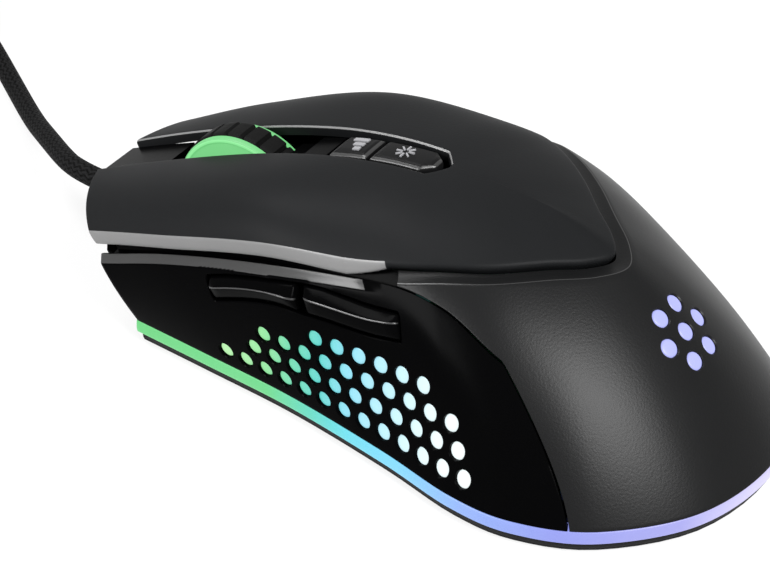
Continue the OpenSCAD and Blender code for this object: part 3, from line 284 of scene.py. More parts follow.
# --- The skin of the body ---------------------------------------------------------------
SKIRT = 4.9
OUTLINE = [[-22.7, 42], [-24.2, 27], [-26.2, 9], [-30, -10.5], [-33.6, -25], [-33.7, -36],
           [-28.8, -48], [-16.5, -59], [0, -62.8]]
LOW_HOLD = [[-26.5, 52, 21], [-28.5, 35, 30], [-28, 13, 37], [-25.5, -9, 26], [-26, -21, 21],
            [-27.5, -32, 17], [-25, -44, 14], [-14.5, -55.5, 11], [0, -59.5, 10]]
HIGH_HOLD = [[-15, 59, 21], [-18, 44, 29], [-21, 22, 38.4], [-24.5, 0, 40.4], [-26, -14, 38.7],
             [-22, -25, 37.8], [-13, -33, 36.6], [-6.5, -38, 35.5], [0, -40.5, 35]]
FLARE = [[0, 0], [0, 0], [0, 0.03], [0, 0.2], [0, 0.135], [-0.02, -0.01], [-0.09, -0.09],
         [-0.11, -0.11], [-0.11, -0.11]]
PINCH = 0.34
RIDGE_FOOT = [64.5, 46, 24, 4, -6, -11, -15, -18, -20]
RIDGE_FRONT, RIDGE_STEP = 66, 10
RIDGE_Z = [16.5, 21, 25.2, 29.1, 32.7, 36, 38.1, 38.8, 38.4, 37.2]
LAST = 8
COVER_EDGE = [0.385, 0.38, 0.4, 0.55, 0.672, 0.728, 0.757, 0.768, 0.77]
PANEL_EDGE = [0.285, 0.312, 0.33, 0.495, 0.546, 0.467]
CHANNEL_EDGE = [0.868, 0.888, 0.915, 0.94, 0.952]
FLEX_RIB, CREASE_RIB, CHANNEL_CORNER, CHANNEL_END = 2.72, 3.2, 3.4, 3.8
PANEL_END, PANEL_TOP_END, PALM_FRONT = 5.66, 5.0, 3.3
BEVEL_T = 0.045
WALL = 1.8
# Radius of the tiny rings that close a rod's ends
TIP = 0.02
GAP_T, GAP_S = 0.35 / 55, 0.35 / 16
# About how many mm a step of [s, t] is long
SKIN_MM = np.array([16.0, 50.0])


def along(table, u, after):
    """Smooth curve through the rows of a table (uniform Catmull-Rom); the first outer row
    mirrors the second one through the first, and the last outer row is given."""
    table = np.asarray(table, float)
    rows = np.concatenate([[2 * table[0] - table[1]], table, [after]])
    i = np.clip(np.floor(u).astype(int), 0, len(table) - 2)
    f = (u - i)[(...,) + (None,) * (table.ndim - 1)]
    a, b, c, d = (rows[i + k] for k in range(4))
    return (2 * b + (c - a) * f + (2 * a - 5 * b + 4 * c - d) * f ** 2
            + (3 * b - a - 3 * c + d) * f ** 3) / 2


def turned(row):
    return [-row[0]] + list(row[1:])


def ridge_at(y):
    """Height of the ridge at y."""
    place = (RIDGE_FRONT - np.asarray(y, float)) / RIDGE_STEP
    return along(RIDGE_Z, place, 2 * RIDGE_Z[-1] - RIDGE_Z[-2])


def skin(s, t):
    """Point of the body's skin: cubic curve from the outline over two holds to the ridge;
    past the tail rib the curve is mirrored and widened by the flare."""
    s, t = np.broadcast_arrays(np.asarray(s, float), np.asarray(t, float))
    right = s > LAST
    r = np.where(right, 2 * LAST - s, s)
    o = along(OUTLINE, r, turned(OUTLINE[7]))
    foot = along(RIDGE_FOOT, r, RIDGE_FOOT[7])
    corners = [np.concatenate([o, np.full(o.shape[:-1] + (1,), SKIRT)], -1),
               along(LOW_HOLD, r, turned(LOW_HOLD[7])), along(HIGH_HOLD, r, turned(HIGH_HOLD[7])),
               np.stack([0 * foot, foot, ridge_at(foot)], -1)]
    w = [(1 - t) ** 3, 3 * t * (1 - t) ** 2, 3 * t * t * (1 - t), t ** 3]
    p = sum(k[..., None] * c for k, c in zip(w, corners))
    f = along(FLARE, r, FLARE[7])
    wide = (1 + f[..., 0] + (f[..., 1] - f[..., 0]) * (1 - (1 - t) ** 3) * (1 - t ** 6)
            - PINCH * t ** 8)
    p[..., 0] *= np.where(right, -wide, 1)
    return p


def unit(v):
    return v / np.maximum(np.linalg.norm(v, axis=-1, keepdims=True), 1e-12)


def eased(x):
    """Soft step of a share from 0 to 1, level at both ends."""
    return x * x * (3 - 2 * x)


def circle(count):
    """Cosines and sines of even steps round a circle."""
    a = np.arange(count) * 2 * math.pi / count
    return np.stack([np.cos(a), np.sin(a)], -1)


def skin_normal(s, t):
    """Outward normal: cross product of the slopes along and up the skin."""
    s, t = np.broadcast_arrays(np.asarray(s, float), np.asarray(t, float))
    ds, dt = 0.03, 0.006
    over = np.minimum(t + dt, 1)
    n = unit(np.cross(skin(s + ds, t) - skin(s - ds, t), skin(s, over) - skin(s, t - dt)))
    y = skin(s, 1 + 0 * t)[..., 1]
    ridge = unit(np.stack([0 * y, ridge_at(y - 1) - ridge_at(y + 1), 0 * y + 2], -1))
    return np.where((t > 1 - dt)[..., None], ridge, n)


def under_skin(s, t, depth):
    """Point of the skin, moved in by a depth; at the skirt it moves level."""
    n = skin_normal(s, t)
    flat = n * [1, 1, 0]
    n = np.where((np.asarray(t) < 0.006)[..., None], unit(flat), n)
    return skin(s, t) - np.asarray(depth)[..., None] * n


def half(s):
    """The rib itself on the left half; its mirror image on the right half."""
    return np.where(s > LAST, 2 * LAST - s, s)


def mirrored(st):
    """A grid of the left half, as a grid of the right half with its faces still outwards."""
    return np.stack([2 * LAST - st[::-1, :, 0], st[::-1, :, 1]], -1)


def cover_t(s):
    return along(COVER_EDGE, half(s), COVER_EDGE[7])


def panel_t(s):
    return along(PANEL_EDGE, half(s), 0.39)


def channel_t(s):
    return along(CHANNEL_EDGE, half(s), 0.96)


# --- Meshes -------------------------------------------------------------------------------
def solid(name, points, faces, material, body="shell", sharp=32.0, merge=False, scale=MM, band=None):
    """Makes a piece from points (mm) and lists of faces; smooth, with creases over an angle.
    A band is a second material and marks for the first points; a face whose points are all
    marked wears it."""
    mesh = bpy.data.meshes.new(name)
    mesh.from_pydata((np.asarray(points, float) * scale).tolist(), [],
        [f for group in faces for f in np.asarray(group).tolist()])
    if band:
        marks = np.zeros(len(points), bool)
        marks[:band[1].size] = band[1].ravel()
        worn = np.concatenate([marks[np.asarray(group)].all(-1) for group in faces])
        mesh.polygons.foreach_set("material_index", worn.astype(np.int32))
    if merge:
        b = bmesh.new()
        b.from_mesh(mesh)
        bmesh.ops.remove_doubles(b, verts=b.verts, dist=2e-6)
        bmesh.ops.dissolve_degenerate(b, edges=b.edges, dist=1e-7)
        b.to_mesh(mesh)
        b.free()
    mesh.shade_smooth()
    mesh.set_sharp_from_angle(angle=math.radians(sharp))
    mesh.materials.append(material)
    if band:
        mesh.materials.append(band[0])
    made = bpy.data.objects.new(name, mesh)
    bpy.context.scene.collection.objects.link(made)
    if body:
        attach(made, body)
    return made


def quads(n, m, start=0, flip=False, round_n=False, round_m=True):
    """Faces between neighbouring places of an n by m grid of points."""
    i, j = np.meshgrid(np.arange(n if round_n else n - 1), np.arange(m if round_m else m - 1),
        indexing="ij")
    k, l = (i + 1) % n, (j + 1) % m
    f = np.stack([i * m + j, k * m + j, k * m + l, i * m + l], -1).reshape(-1, 4) + start
    return f[:, ::-1] if flip else f


def strip(a, b, closed=False):
    """Faces between two rows of point numbers."""
    a, b = np.asarray(a), np.asarray(b)
    if closed:
        a, b = np.append(a, a[0]), np.append(b, b[0])
    return np.stack([a[:-1], a[1:], b[1:], b[:-1]], -1)


def rims(g, inner):
    """Faces along the four sides of a wall; g holds the numbers of its outer points."""
    return [strip(g[:, 0] + inner, g[:, 0]), strip(g[:, -1], g[:, -1] + inner),
            strip(g[0], g[0] + inner), strip(g[-1] + inner, g[-1])]


def walled(n, m):
    """Faces of a closed wall: the outer grid, the inner one, and the rims."""
    grid = quads(n, m, round_m=False)
    return [grid, grid[:, ::-1] + n * m] + rims(np.arange(n * m).reshape(n, m), n * m)


def capped(n, m, start=0, flip=False):
    """Faces of n rings of m points, one after the other, with both ends closed."""
    first, last = np.arange(m) + start, np.arange(m)[::-1] + start + (n - 1) * m
    return [quads(n, m, start, flip)] + [[end[::-1] if flip else end] for end in (first, last)]


def rod(rows, count, origin=(0.0, 0.0, 0.0), axes=np.eye(3)):
    """Rings round the third axis; a row is a radius and a place along that axis."""
    r, h = np.array(rows, float).T[:, :, None, None]
    axes = np.asarray(axes, float)
    return (np.asarray(origin, float) + r * (circle(count) @ axes[:2]) + h * axes[2]).reshape(-1, 3)


# Edges of a moulding: pairs of a distance from the edge and the depth there, in mm
def rounded(r, steps=5):
    a = np.linspace(0, math.pi / 2, steps)
    return np.stack([r * (1 - np.cos(a)), r * (1 - np.sin(a))], -1)


PLAIN = np.array([[0.0, 0.0]])


def stops(low, count, high, edges):
    """Places from 0 to 1 with the two edges' distances laid out in full size."""
    (first, last), (speed_a, speed_b) = edges, (low, high)
    a = first[..., 0] / speed_a
    b = 1 - last[::-1, 0] / speed_b
    mid = a[..., -1:] + (b[..., :1] - a[..., -1:]) * np.linspace(0, 1, count + 2)[1:-1]
    return np.concatenate([a, mid, b], -1)


def layout(low, high, cols, count, low_edge, high_edge):
    """Grid of [s, t] places between two lines of the skin, and the depth of each place."""
    lo, hi = low(cols), high(cols)
    d, e = hi - lo, 1e-3
    speed = [np.linalg.norm(skin(*(p + q * e * d).T) - skin(*p.T), axis=-1)[:, None] / e
             for p, q in ((lo, 1), (hi, -1))]
    b = stops(speed[0], count, speed[1], (low_edge, high_edge))
    st = lo[:, None] + d[:, None] * b[..., None]
    full = (len(cols), len(high_edge))
    depth = [np.broadcast_to(low_edge[..., 1], (full[0], low_edge.shape[-2])),
             np.zeros((full[0], count)), np.broadcast_to(high_edge[::-1, 1], full)]
    return st, np.concatenate(depth, -1)


def end_rounding(st, first=None, last=None):
    """Depth near the first and last column, by the distance along the skin."""
    p = skin(st[..., 0], st[..., 1])
    steps = np.linalg.norm(np.diff(p, axis=0), axis=-1)
    zero = np.zeros((1, st.shape[1]))
    from_first = np.concatenate([zero, np.cumsum(steps, 0)])
    from_last = from_first[-1:] - from_first
    depth = np.zeros(st.shape[:2])
    for edge, distance in ((first, from_first), (last, from_last)):
        if edge is not None:
            depth = np.hypot(depth, np.interp(distance, edge[:, 0], edge[:, 1]))
    return depth


def band_points(st, low=(0, -1), high=(0, -1)):
    """Marks rows of a grid, counted from its low and from its high edge."""
    n, m = st.shape[:2]
    j = np.arange(m)
    k = m - 1 - j
    return np.tile((j >= low[0]) & (j <= low[1]) | (k >= high[0]) & (k <= high[1]), (n, 1))


def wall_points(st, depth, wall):
    """Points of a wall: its outer face at a depth under the skin, then its inner face."""
    return np.concatenate([under_skin(st[..., 0], st[..., 1], d).reshape(-1, 3)
                           for d in (depth, np.full(st.shape[:-1], wall))])


def skin_wall(name, st, depth, wall, material, body="shell", merge=False, sharp=32.0, band=None,
              stem=None, stem_count=0, flip=False):
    """Closed wall over a grid of skin places, with a closed rod if a stem's points are given."""
    n, m = st.shape[:2]
    points, faces = [wall_points(st, depth, wall)], walled(n, m)
    if stem is not None:
        points.append(stem)
        faces += capped(len(stem) // stem_count, stem_count, 2 * n * m, flip)
    return solid(name, np.concatenate(points), faces, material, body, sharp, merge, band=band)


def dense(a, b, count, first=PLAIN, last=PLAIN, size=1.0):
    """Places from a to b, close together at rounded ends; size is the length in mm."""
    steps_a, steps_b = first[:, 0] / size, last[:, 0] / size
    return np.concatenate([a + (b - a) * steps_a,
        a + (b - a) * np.linspace(steps_a[-1], 1 - steps_b[-1], count + 2)[1:-1],
        b - (b - a) * steps_b[::-1]])


def pair(s, t):
    s, t = np.broadcast_arrays(s, t)
    return np.stack([s, t], -1)


def locate(goal, first, second, guess, origin=(0.0, 0.0, 0.0)):
    """Skin places whose two coordinates along two axes are the goals (Newton steps)."""
    st = np.array(guess, float)
    axes = np.array([first, second], float)

    def seen(q):
        return (skin(q[..., 0], q[..., 1]) - origin) @ axes.T
    e = 1e-4
    for _ in range(9):
        f = seen(st) - goal
        js = (seen(st + [e, 0]) - seen(st - [e, 0])) / (2 * e)
        jt = (seen(st + [0, e]) - seen(st - [0, e])) / (2 * e)
        det = js[..., 0] * jt[..., 1] - js[..., 1] * jt[..., 0]
        step = np.stack([f[..., 0] * jt[..., 1] - f[..., 1] * jt[..., 0],
                         js[..., 0] * f[..., 1] - js[..., 1] * f[..., 0]], -1) / det[..., None]
        st = st - np.clip(step, -0.5, 0.5)
    return st


def beyond(ring, places):
    """Distance of places from the nearest side of a ring, negative inside it."""
    edge, at = ring, places[:, None]
    side = np.roll(edge, -1, 0) - edge
    share = np.clip(((at - edge) * side).sum(-1) / (side ** 2).sum(-1), 0, 1)
    gap = np.linalg.norm(at - edge - share[..., None] * side, axis=-1).min(-1)
    rise = np.where(side[:, 1] == 0, 1, side[:, 1])
    passed = (edge[:, 1] > at[..., 1]) != (np.roll(edge, -1, 0)[:, 1] > at[..., 1])
    passed &= at[..., 0] < edge[:, 0] + side[:, 0] * (at[..., 1] - edge[:, 1]) / rise
    return np.where(passed.sum(-1) % 2 == 1, -gap, gap)


def twice_area(a, b, c):
    """Twice the signed area of flat triangles."""
    return (b - a)[:, 0] * (c - a)[:, 1] - (b - a)[:, 1] * (c - a)[:, 0]


def pierced_wall(name, st, depth, wall, material, holes, lip=0.12, margin=0.45, level=0.0, band=None):
    """Closed wall over a grid of skin places with holes in it. A hole is a pair of rings of
    [s, t] places, wide and narrow. The cells around the holes give way to a triangulation
    between the grid and the wide rings; each hole gets a small chamfer and a bore. The level
    is the depth of the wide rings; the lip is that of the narrow ones."""
    n, m = st.shape[:2]
    wide = [h[0] for h in holes]
    rings = np.concatenate(wide)
    flat = st.reshape(-1, 2)
    gap = np.min([beyond(ring * SKIN_MM, flat * SKIN_MM) for ring in wide], 0)
    # Index box around the holes
    i, j = np.nonzero((gap < 0.4).reshape(n, m))
    i0, i1 = max(i.min() - 2, 0), min(i.max() + 2, n - 1)
    j0, j1 = max(j.min() - 2, 0), min(j.max() + 2, m - 1)
    g = np.arange(n * m).reshape(n, m)
    border = np.concatenate([g[i0:i1, j0], g[i1, j0:j1], g[i1:i0:-1, j1], g[i0, j1:j0:-1]])
    inside = g[i0 + 1:i1, j0 + 1:j1].ravel()
    inside = inside[gap[inside] > margin]
    # Triangles between the border, the places inside it and the wide rings
    counts = np.array([len(ring) for ring in wide])
    free = len(border) + len(inside)
    starts = np.cumsum(counts) - counts
    edges = [(a + k, a + (k + 1) % count) for a, count in
             [(0, len(border))] + list(zip((starts + free).tolist(), counts.tolist())) for k in range(count)]
    used = np.concatenate([flat[border], flat[inside], rings]) * SKIN_MM
    found = delaunay_2d_cdt([Vector(p) for p in used], edges, [], 1, 1e-6)
    tri = np.array([[found[3][k][0] for k in f] for f in found[2]])
    owner = np.concatenate([np.full(free, -1), np.repeat(np.arange(len(wide)), counts)])[tri]
    tri = tri[(owner[:, 0] < 0) | (owner != owner[:, :1]).any(1)]
    # Numbers of the points: the grid and the wide rings, the same inside, the narrow rings
    tri = np.concatenate([border, inside, n * m + np.arange(len(rings))])[tri]
    places = np.concatenate([flat, rings])
    back = twice_area(*(places[tri[:, k]] for k in range(3))) < 0
    tri[back] = tri[back][:, ::-1]
    count = len(places)
    closed = np.ones((n - 1, m - 1), bool)
    closed[i0:i1, j0:j1] = False
    shown = quads(n, m, round_m=False)[closed.ravel()]
    faces = [shown, shown[:, ::-1] + count, tri, tri[:, ::-1] + count] + rims(g, count)
    for ring, start in zip(wide, starts):
        row = start + np.arange(len(ring))
        p = ring - ring.mean(0)
        walls = [strip(n * m + row, 2 * count + row, True), strip(2 * count + row, n * m + count + row, True)]
        inward = twice_area(0 * p, p, np.roll(p, -1, 0)).sum() < 0
        faces += [w[:, ::-1] for w in walls] if inward else walls
    narrow = np.concatenate([h[1] for h in holes])
    depths = np.concatenate([depth.ravel(), np.full(len(rings), level)])
    points = [wall_points(places, depths, wall), under_skin(*narrow.T, np.full(len(narrow), lip))]
    return solid(name, np.concatenate(points), faces, material, band=band)


def swept(name, path, side, up, profile, material, closed=False, sharp=32.0):
    """Closed profile [across, up] carried along a path with given side and up directions."""
    profile = np.asarray(profile, float)
    p = path[:, None] + side[:, None] * profile[None, :, :1] + up[:, None] * profile[None, :, 1:2]
    n, m = p.shape[:2]
    faces = [quads(n, m, round_n=True)] if closed else capped(n, m)
    return outward(solid(name, p.reshape(-1, 3), faces, material, sharp=sharp))


def outward(made):
    """Turns the faces of a closed piece outwards."""
    b = bmesh.new()
    b.from_mesh(made.data)
    bmesh.ops.recalc_face_normals(b, faces=b.faces)
    b.to_mesh(made.data)
    b.free()
    return made


# --- Cord ---------------------------------------------------------------------------------
CORD = 3.8
ROUTE = [[0, 56, 11.5], [0, 60, 11.5], [0, 65, 11.5], [0.8, 70, 11.2], [2.8, 75, 10.3],
         [6, 80, 9], [9.6, 85, 7.6], [13.3, 90, 6.1], [17, 95, 4.7], [21.3, 100.6, 3.5],
         [25.8, 106.4, 2.6], [30.4, 112.6, 2.2], [34.8, 118.8, 2.2], [39, 125, 2.4],
         [43, 131.2, 2.8], [46.6, 136.8, 3.2]]
LEAD_TAIL = [[-0.3, -5.5, 0.1], [-1, -11, 0.5], [-1.8, -16.5, 1.2], [-2.3, -21.5, 1.7],
             [-2.5, -26, 1.82], [-2.5, -30, 1.82]]
LOOPS, LAYERS, RINGS = 11, 4, 24
PITCH = CORD + 0.6
TURNS = LOOPS / LAYERS
COIL_START = math.radians(-33)
COIL_MIDDLE, COIL_SPREAD = 22, PITCH * (TURNS - 0.5) / 2
COIL_OUTER = COIL_MIDDLE + COIL_SPREAD
COIL_ENTRY = np.array([50.3, 144.6])
COIL_CENTRE = COIL_ENTRY - COIL_OUTER * np.array([math.cos(COIL_START), math.sin(COIL_START)])
COIL_Z = 3.2
TIE_ANGLE, TIE_GAP = math.radians(240), 0.15


def coil_points():
    """Flat spiral of three turns a layer; in the last half turn of a layer the spiral turns
    back and climbs by one cord, and the next layer runs the other way."""
    q = np.arange(LOOPS * RINGS + 1) / RINGS
    k = np.minimum(np.floor(q / TURNS), LAYERS - 1)
    w = q - k * TURNS
    lin = TURNS - 0.5
    x = np.maximum(0, w - lin)
    last = k >= LAYERS - 1
    travel = np.where(last, w, np.minimum(w, lin) + x - 2 * x * x)
    radius = np.where(k % 2 == 0, COIL_OUTER - PITCH * travel,
        COIL_OUTER - PITCH * lin + PITCH * travel)
    z = COIL_Z + PITCH * (k + np.where(last, 0, eased(np.minimum(1, 2 * x))))
    a = COIL_START + 2 * math.pi * q
    return np.stack([COIL_CENTRE[0] + radius * np.cos(a), COIL_CENTRE[1] + radius * np.sin(a), z], -1)


def smooth_path(points, per):
    """Points on the smooth curve through a path, a number for each stretch."""
    u = np.linspace(0, len(points) - 1, (len(points) - 1) * per + 1)
    return along(points, u, 2 * points[-1] - points[-2])


def tube(name, path, radius, sides, material):
    """Round tube along a path, its ends closed, with its length and turn as a UV map."""
    t = unit(np.gradient(path, axis=0))
    side = unit(np.cross(t, [0, 0, 1.0]))
    c, s = circle(sides).T[:, None, :, None]
    p = path[:, None] + radius * (c * side[:, None] + s * np.cross(side, t)[:, None])
    n = len(path)
    made = solid(name, p.reshape(-1, 3), capped(n, sides, flip=True), material, sharp=50)
    length = np.concatenate([[0], np.cumsum(np.linalg.norm(np.diff(path, axis=0), axis=-1))]) * MM
    corner = np.zeros(len(made.data.loops), int)
    made.data.loops.foreach_get("vertex_index", corner)
    uv = np.stack([length[corner // sides], (corner % sides) / sides], -1)
    # Where a face closes the round, its last turn counts as 1 and not as 0
    mantle = (n - 1) * sides * 4
    turns = corner[:mantle].reshape(-1, 4) % sides
    wrapped = (turns.max(1) == sides - 1) & (turns.min(1) == 0)
    v = uv[:mantle, 1].reshape(-1, 4)
    v[wrapped] = np.where(v[wrapped] == 0, 1.0, v[wrapped])
    uv[:mantle, 1] = v.ravel()
    made.data.uv_layers.new(name="UVMap").data.foreach_set("uv", uv.ravel().astype(np.float32))
    return made


def lead_points(coil):
    """The lead slides down the outside of the coil for over half a turn, lies on the desk and
    rises to the middle of the plug."""
    x = np.arange(1, 15) / 14
    a = COIL_START + math.radians(213) * x
    r = np.linalg.norm(coil[-1][:2] - COIL_CENTRE) + 2.5 * eased(np.minimum(1, 2.5 * x))
    z = coil[-1][2] + (CORD / 2 + 0.3 - coil[-1][2]) * eased(x)
    p = np.stack([COIL_CENTRE[0] + r * np.cos(a), COIL_CENTRE[1] + r * np.sin(a), z], -1)
    return np.concatenate([p, p[-1] + LEAD_TAIL])


coil = coil_points()
lead = lead_points(coil)
head = unit(coil[1] - coil[0])
cord_path = np.concatenate([ROUTE, [coil[0] - 2 * CORD * head, coil[0] - CORD * head], coil, lead])
cord_line = smooth_path(cord_path, 4)
cord = tube("braided_cord", cord_line, CORD / 2, 14, cord_braid)
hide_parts("cord", "cord_coil")


def loop_profile(width, height, r, steps=5):
    """Rounded rectangle, counter-clockwise."""
    a = np.linspace(0, math.pi / 2, steps)
    x, y = np.cos(a) * r, np.sin(a) * r
    corners = [np.stack(c, -1) for c in ((x, y), (-y, x), (-x, -y), (y, -x))]
    middle = np.array([width / 2 - r, height / 2 - r])
    ways = [(1, 1), (-1, 1), (-1, -1), (1, -1)]
    return np.concatenate([c + middle * way for c, way in zip(corners, ways)])


def add_tie():
    """Woven strap round the section of the coil: a flat band carried round a loop."""
    out = np.array([math.cos(TIE_ANGLE), math.sin(TIE_ANGLE), 0])
    reach = CORD / 2 + TIE_GAP
    inner = COIL_MIDDLE - COIL_SPREAD - PITCH / 8 - reach
    outer = COIL_OUTER + PITCH / 2 + reach
    low, high = COIL_Z - reach, COIL_Z + PITCH * (LAYERS - 1) + reach
    loop = loop_profile(outer - inner + 1, high - low + 1, 2.0, 7)
    centre = np.append(COIL_CENTRE, (low + high) / 2) + out * (inner + outer) / 2
    path = centre + loop[:, :1] * out + loop[:, 1:] * [[0, 0, 1.0]]
    side = np.tile([-out[1], out[0], 0], (len(path), 1))
    away = np.cross(side, unit(np.roll(path, -1, 0) - np.roll(path, 1, 0)))
    away *= np.sign((away * (path - centre)).sum(-1, keepdims=True))
    made = swept("coil_strap", path, side, away, loop_profile(8.8, 0.9, 0.3, 3), strap_weave,
        closed=True)
    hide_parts("cord_tie")
    return made


strap = add_tie()


def plug_rings(profiles, places):
    """Profiles [across, up] set up at places along the plug, in mm."""
    side, up, ahead = np.array([-1.0, 0, 0]), np.array([0, 0, 1.0]), np.array([0, -1.0, 0])
    profiles = np.asarray(profiles)
    return (lead[-1] + profiles[..., :1] * side + profiles[..., 1:] * up
            + np.asarray(places)[:, None, None] * ahead).reshape(-1, 3)


def add_plug():
    """Moulded grip of the plug with a ribbed relief, and its folded metal sleeve."""
    # Relief: rings whose radius swells and falls; then the grip with eased shoulders
    y = np.concatenate([np.linspace(0, 5.2, 27), np.linspace(5.25, 25.2, 26), [25.6, 25.9, 26.0]])
    ribs = 2.6 + 0.22 * np.sin(2 * math.pi * y / 1.3)
    grow = eased(np.clip((y - 4.6) / 2.2, 0, 1))
    close = np.where(y > 25, np.sqrt(np.clip(1 - ((y - 25) / 1.25) ** 2, 0, 1)) * 0.12 + 0.88, 1)
    waist = 1 - 0.05 * np.exp(-((y - 16) / 4.5) ** 2)
    c = circle(48)
    box = np.sign(c) * np.abs(c) ** 0.42 * [6.0, 4.0]
    section = (c * (ribs * (1 - grow))[:, None, None] + box * (grow * close * waist)[:, None, None])
    grip = outward(solid("plug_grip", plug_rings(section, y), capped(len(y), 48), plug_satin, sharp=40))
    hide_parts("plug_body")
    # Sleeve: rounded tube with a wall, its back closed, and a tongue inside
    outer, inner = loop_profile(12, 4.5, 0.6), loop_profile(11.3, 3.8, 0.4)
    tongue = loop_profile(10.8, 1.7, 0.15, 3) - [0, 0.9]
    sleeve_rings = plug_rings([outer, outer, outer * 0.985, inner * 1.01, inner, inner],
        [25.0, 37.2, 37.45, 37.45, 37.2, 26.0])
    sleeve = outward(solid("plug_sleeve", np.concatenate([sleeve_rings, plug_rings([tongue] * 2, [25.5, 36.6])]),
        capped(6, len(outer)) + capped(2, len(tongue), len(sleeve_rings)), plug_steel, sharp=35))
    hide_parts("plug_shell")
    return grip, sleeve


plug_grip, plug_sleeve = add_plug()

# --- Cover and main buttons ------------------------------------------------------------------
POST_RADIUS, POST_TOP = 1.6, 25.0
SWITCH_X, SWITCH_Y, SWITCH_TOP = 15.56, 40.87, 15.45


def cover_high(s):
    """Upper edge of the cover: along the channel, round its end, then the ridge."""
    r = half(s)
    corner = float(channel_t(np.array([CHANNEL_CORNER]))[0])
    slope = corner + (1 - corner) * (r - CHANNEL_CORNER) / (CHANNEL_END - CHANNEL_CORNER)
    return np.where(r >= CHANNEL_END, 1.0, np.where(r < CHANNEL_CORNER, channel_t(s), slope))


LIP = rounded(0.45, 5)
BEVEL = np.array([[0, 1.25], [0.08, 1.02], [0.25, 0.88], [0.8, 0.64], [1.5, 0.35], [2.1, 0.1],
                  [2.35, 0.025], [2.6, 0.0]])
COVER_RIM = np.array([[0, 0.85], [0.04, 0.62], [0.12, 0.45], [0.22, 0.3], [0.36, 0.17], [0.55, 0.07],
                      [0.7, 0.02], [0.85, 0.0]])


def bevel_share(s):
    """How much of the buttons' bevel the cover's rim still has; it runs out at the crease."""
    return np.clip((CREASE_RIB - half(s)) / (CREASE_RIB - FLEX_RIB), 0, 1)


def cover_low(s):
    return pair(s, cover_t(s) - BEVEL_T * bevel_share(s))


def add_cover():
    """Cover behind the buttons, both halves, closed along the ridge."""
    left = np.concatenate([np.linspace(FLEX_RIB, CHANNEL_CORNER, 12),
        np.linspace(CHANNEL_CORNER, CHANNEL_END, 8)[1:], np.linspace(CHANNEL_END, LAST, 60)[1:]])
    cols = np.concatenate([left, (2 * LAST - left)[::-1][1:]])
    share = bevel_share(cols)
    rim = COVER_RIM + (BEVEL - COVER_RIM) * share[:, None, None]
    st, depth = layout(cover_low, lambda s: pair(s, cover_high(s)), cols, 34, rim, LIP)
    # The rim at the high end fades out where the halves meet on the ridge
    k = len(LIP)
    depth[:, -k:] *= np.clip((CHANNEL_END - half(cols)) / 0.05, 0, 1)[:, None]
    # Painted highlight: the bevel rows and the rounded rows along the channel wear the grey bevel finish.
    bright = (band_points(st, (0, len(BEVEL) - 1)) & (share[:, None] > 0)
              | band_points(st, (0, -1), (1, 3)) & (half(cols)[:, None] < CHANNEL_END))
    return skin_wall("cover_crown", st, depth, WALL, cover_satin, merge=True,
        band=(painted_highlight_bevel, bright))


cover = add_cover()
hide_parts("top_cover")


def add_button(name, node, right):
    """Main button: a finger of the cover with a painted highlight on the bevel along its lower edge and on its
    rounded upper edge, and the post that presses its switch."""
    edge = rounded(0.5, 5)
    cols = dense(0.0, FLEX_RIB, 60, first=edge, size=47.0)
    if right:
        cols = (2 * LAST - cols)[::-1]
    st, depth = layout(lambda s: pair(s, cover_t(s) - BEVEL_T), lambda s: pair(s, channel_t(s)),
        cols, 34, BEVEL, LIP)
    depth = np.hypot(depth, end_rounding(st, None if right else edge, edge if right else None))
    side = 1 if right else -1
    post = rod([(TIP, SWITCH_TOP), (POST_RADIUS - 0.15, SWITCH_TOP), (POST_RADIUS, SWITCH_TOP + 0.15),
        (POST_RADIUS, POST_TOP), (TIP, POST_TOP)], 28, (side * SWITCH_X, SWITCH_Y, 0))
    # Painted highlight: the bevel rows and the rounded upper rows wear the grey bevel finish.
    made = skin_wall(name, st, depth, WALL, cover_satin, None, sharp=30,
        band=(painted_highlight_bevel, band_points(st, (0, len(BEVEL) - 1), (1, 3))), stem=post, stem_count=28, flip=True)
    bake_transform(made)
    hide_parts(node)


add_button("left_main_button", "left_button", False)
add_button("right_main_button", "right_button", True)

# --- Palm shell and light pipes -----------------------------------------------------------
PALM_SIDES, PALM_TAIL = 13, 10
END_T = float(panel_t(np.array([PANEL_TOP_END]))[0])
PIPE_RIB, PIPE_RING, PIPE_RADIUS = 0.531, 4.8, 1.5


def palm_low(a):
    """Lower edge of the palm shell: over the side panel, down its rear end, along the ring."""
    top = PALM_SIDES - 4
    s1 = PALM_FRONT + (PANEL_TOP_END - PALM_FRONT) * a / top
    b = np.clip((PALM_SIDES - a) / 4, 0, 1)
    s2 = PANEL_END - (PANEL_END - PANEL_TOP_END) * b * b
    s3 = PANEL_END + (LAST - PANEL_END - GAP_S) * (a - PALM_SIDES) / PALM_TAIL
    over, down = a < top, a <= PALM_SIDES
    t = np.where(over, panel_t(np.minimum(s1, PANEL_TOP_END)) + GAP_T, np.where(down, END_T * b, 0))
    return pair(np.where(over, s1, np.where(down, s2, s3)) + GAP_S, t)


def palm_high(a):
    """Upper edge of the palm shell, a seam away from the cover."""
    s = PALM_FRONT + (LAST - PALM_FRONT) * a / (PALM_SIDES + PALM_TAIL)
    return pair(s, cover_t(s) - GAP_T)


def both_halves(f):
    """A line of the left half, carried on over the tail to the right half."""
    def line(a):
        total = PALM_SIDES + PALM_TAIL
        left = f(np.minimum(a, 2 * total - a))
        return np.stack([np.where(a > total, 2 * LAST - left[:, 0], left[:, 0]), left[:, 1]], -1)
    return line


GROOVE = np.array([[0, 1.15], [0.35, 1.1], [0.9, 0.88], [1.5, 0.55], [1.95, 0.26], [2.15, 0.12],
                   [2.3, 0.035], [2.5, 0.0]])
SEAM = rounded(0.22, 4)


def ring_places(centres, radii, find, count=24):
    """Rings of skin places round hole middles, for each of the radii."""
    return [[find(c + r * circle(count)) for r in radii] for c in centres]


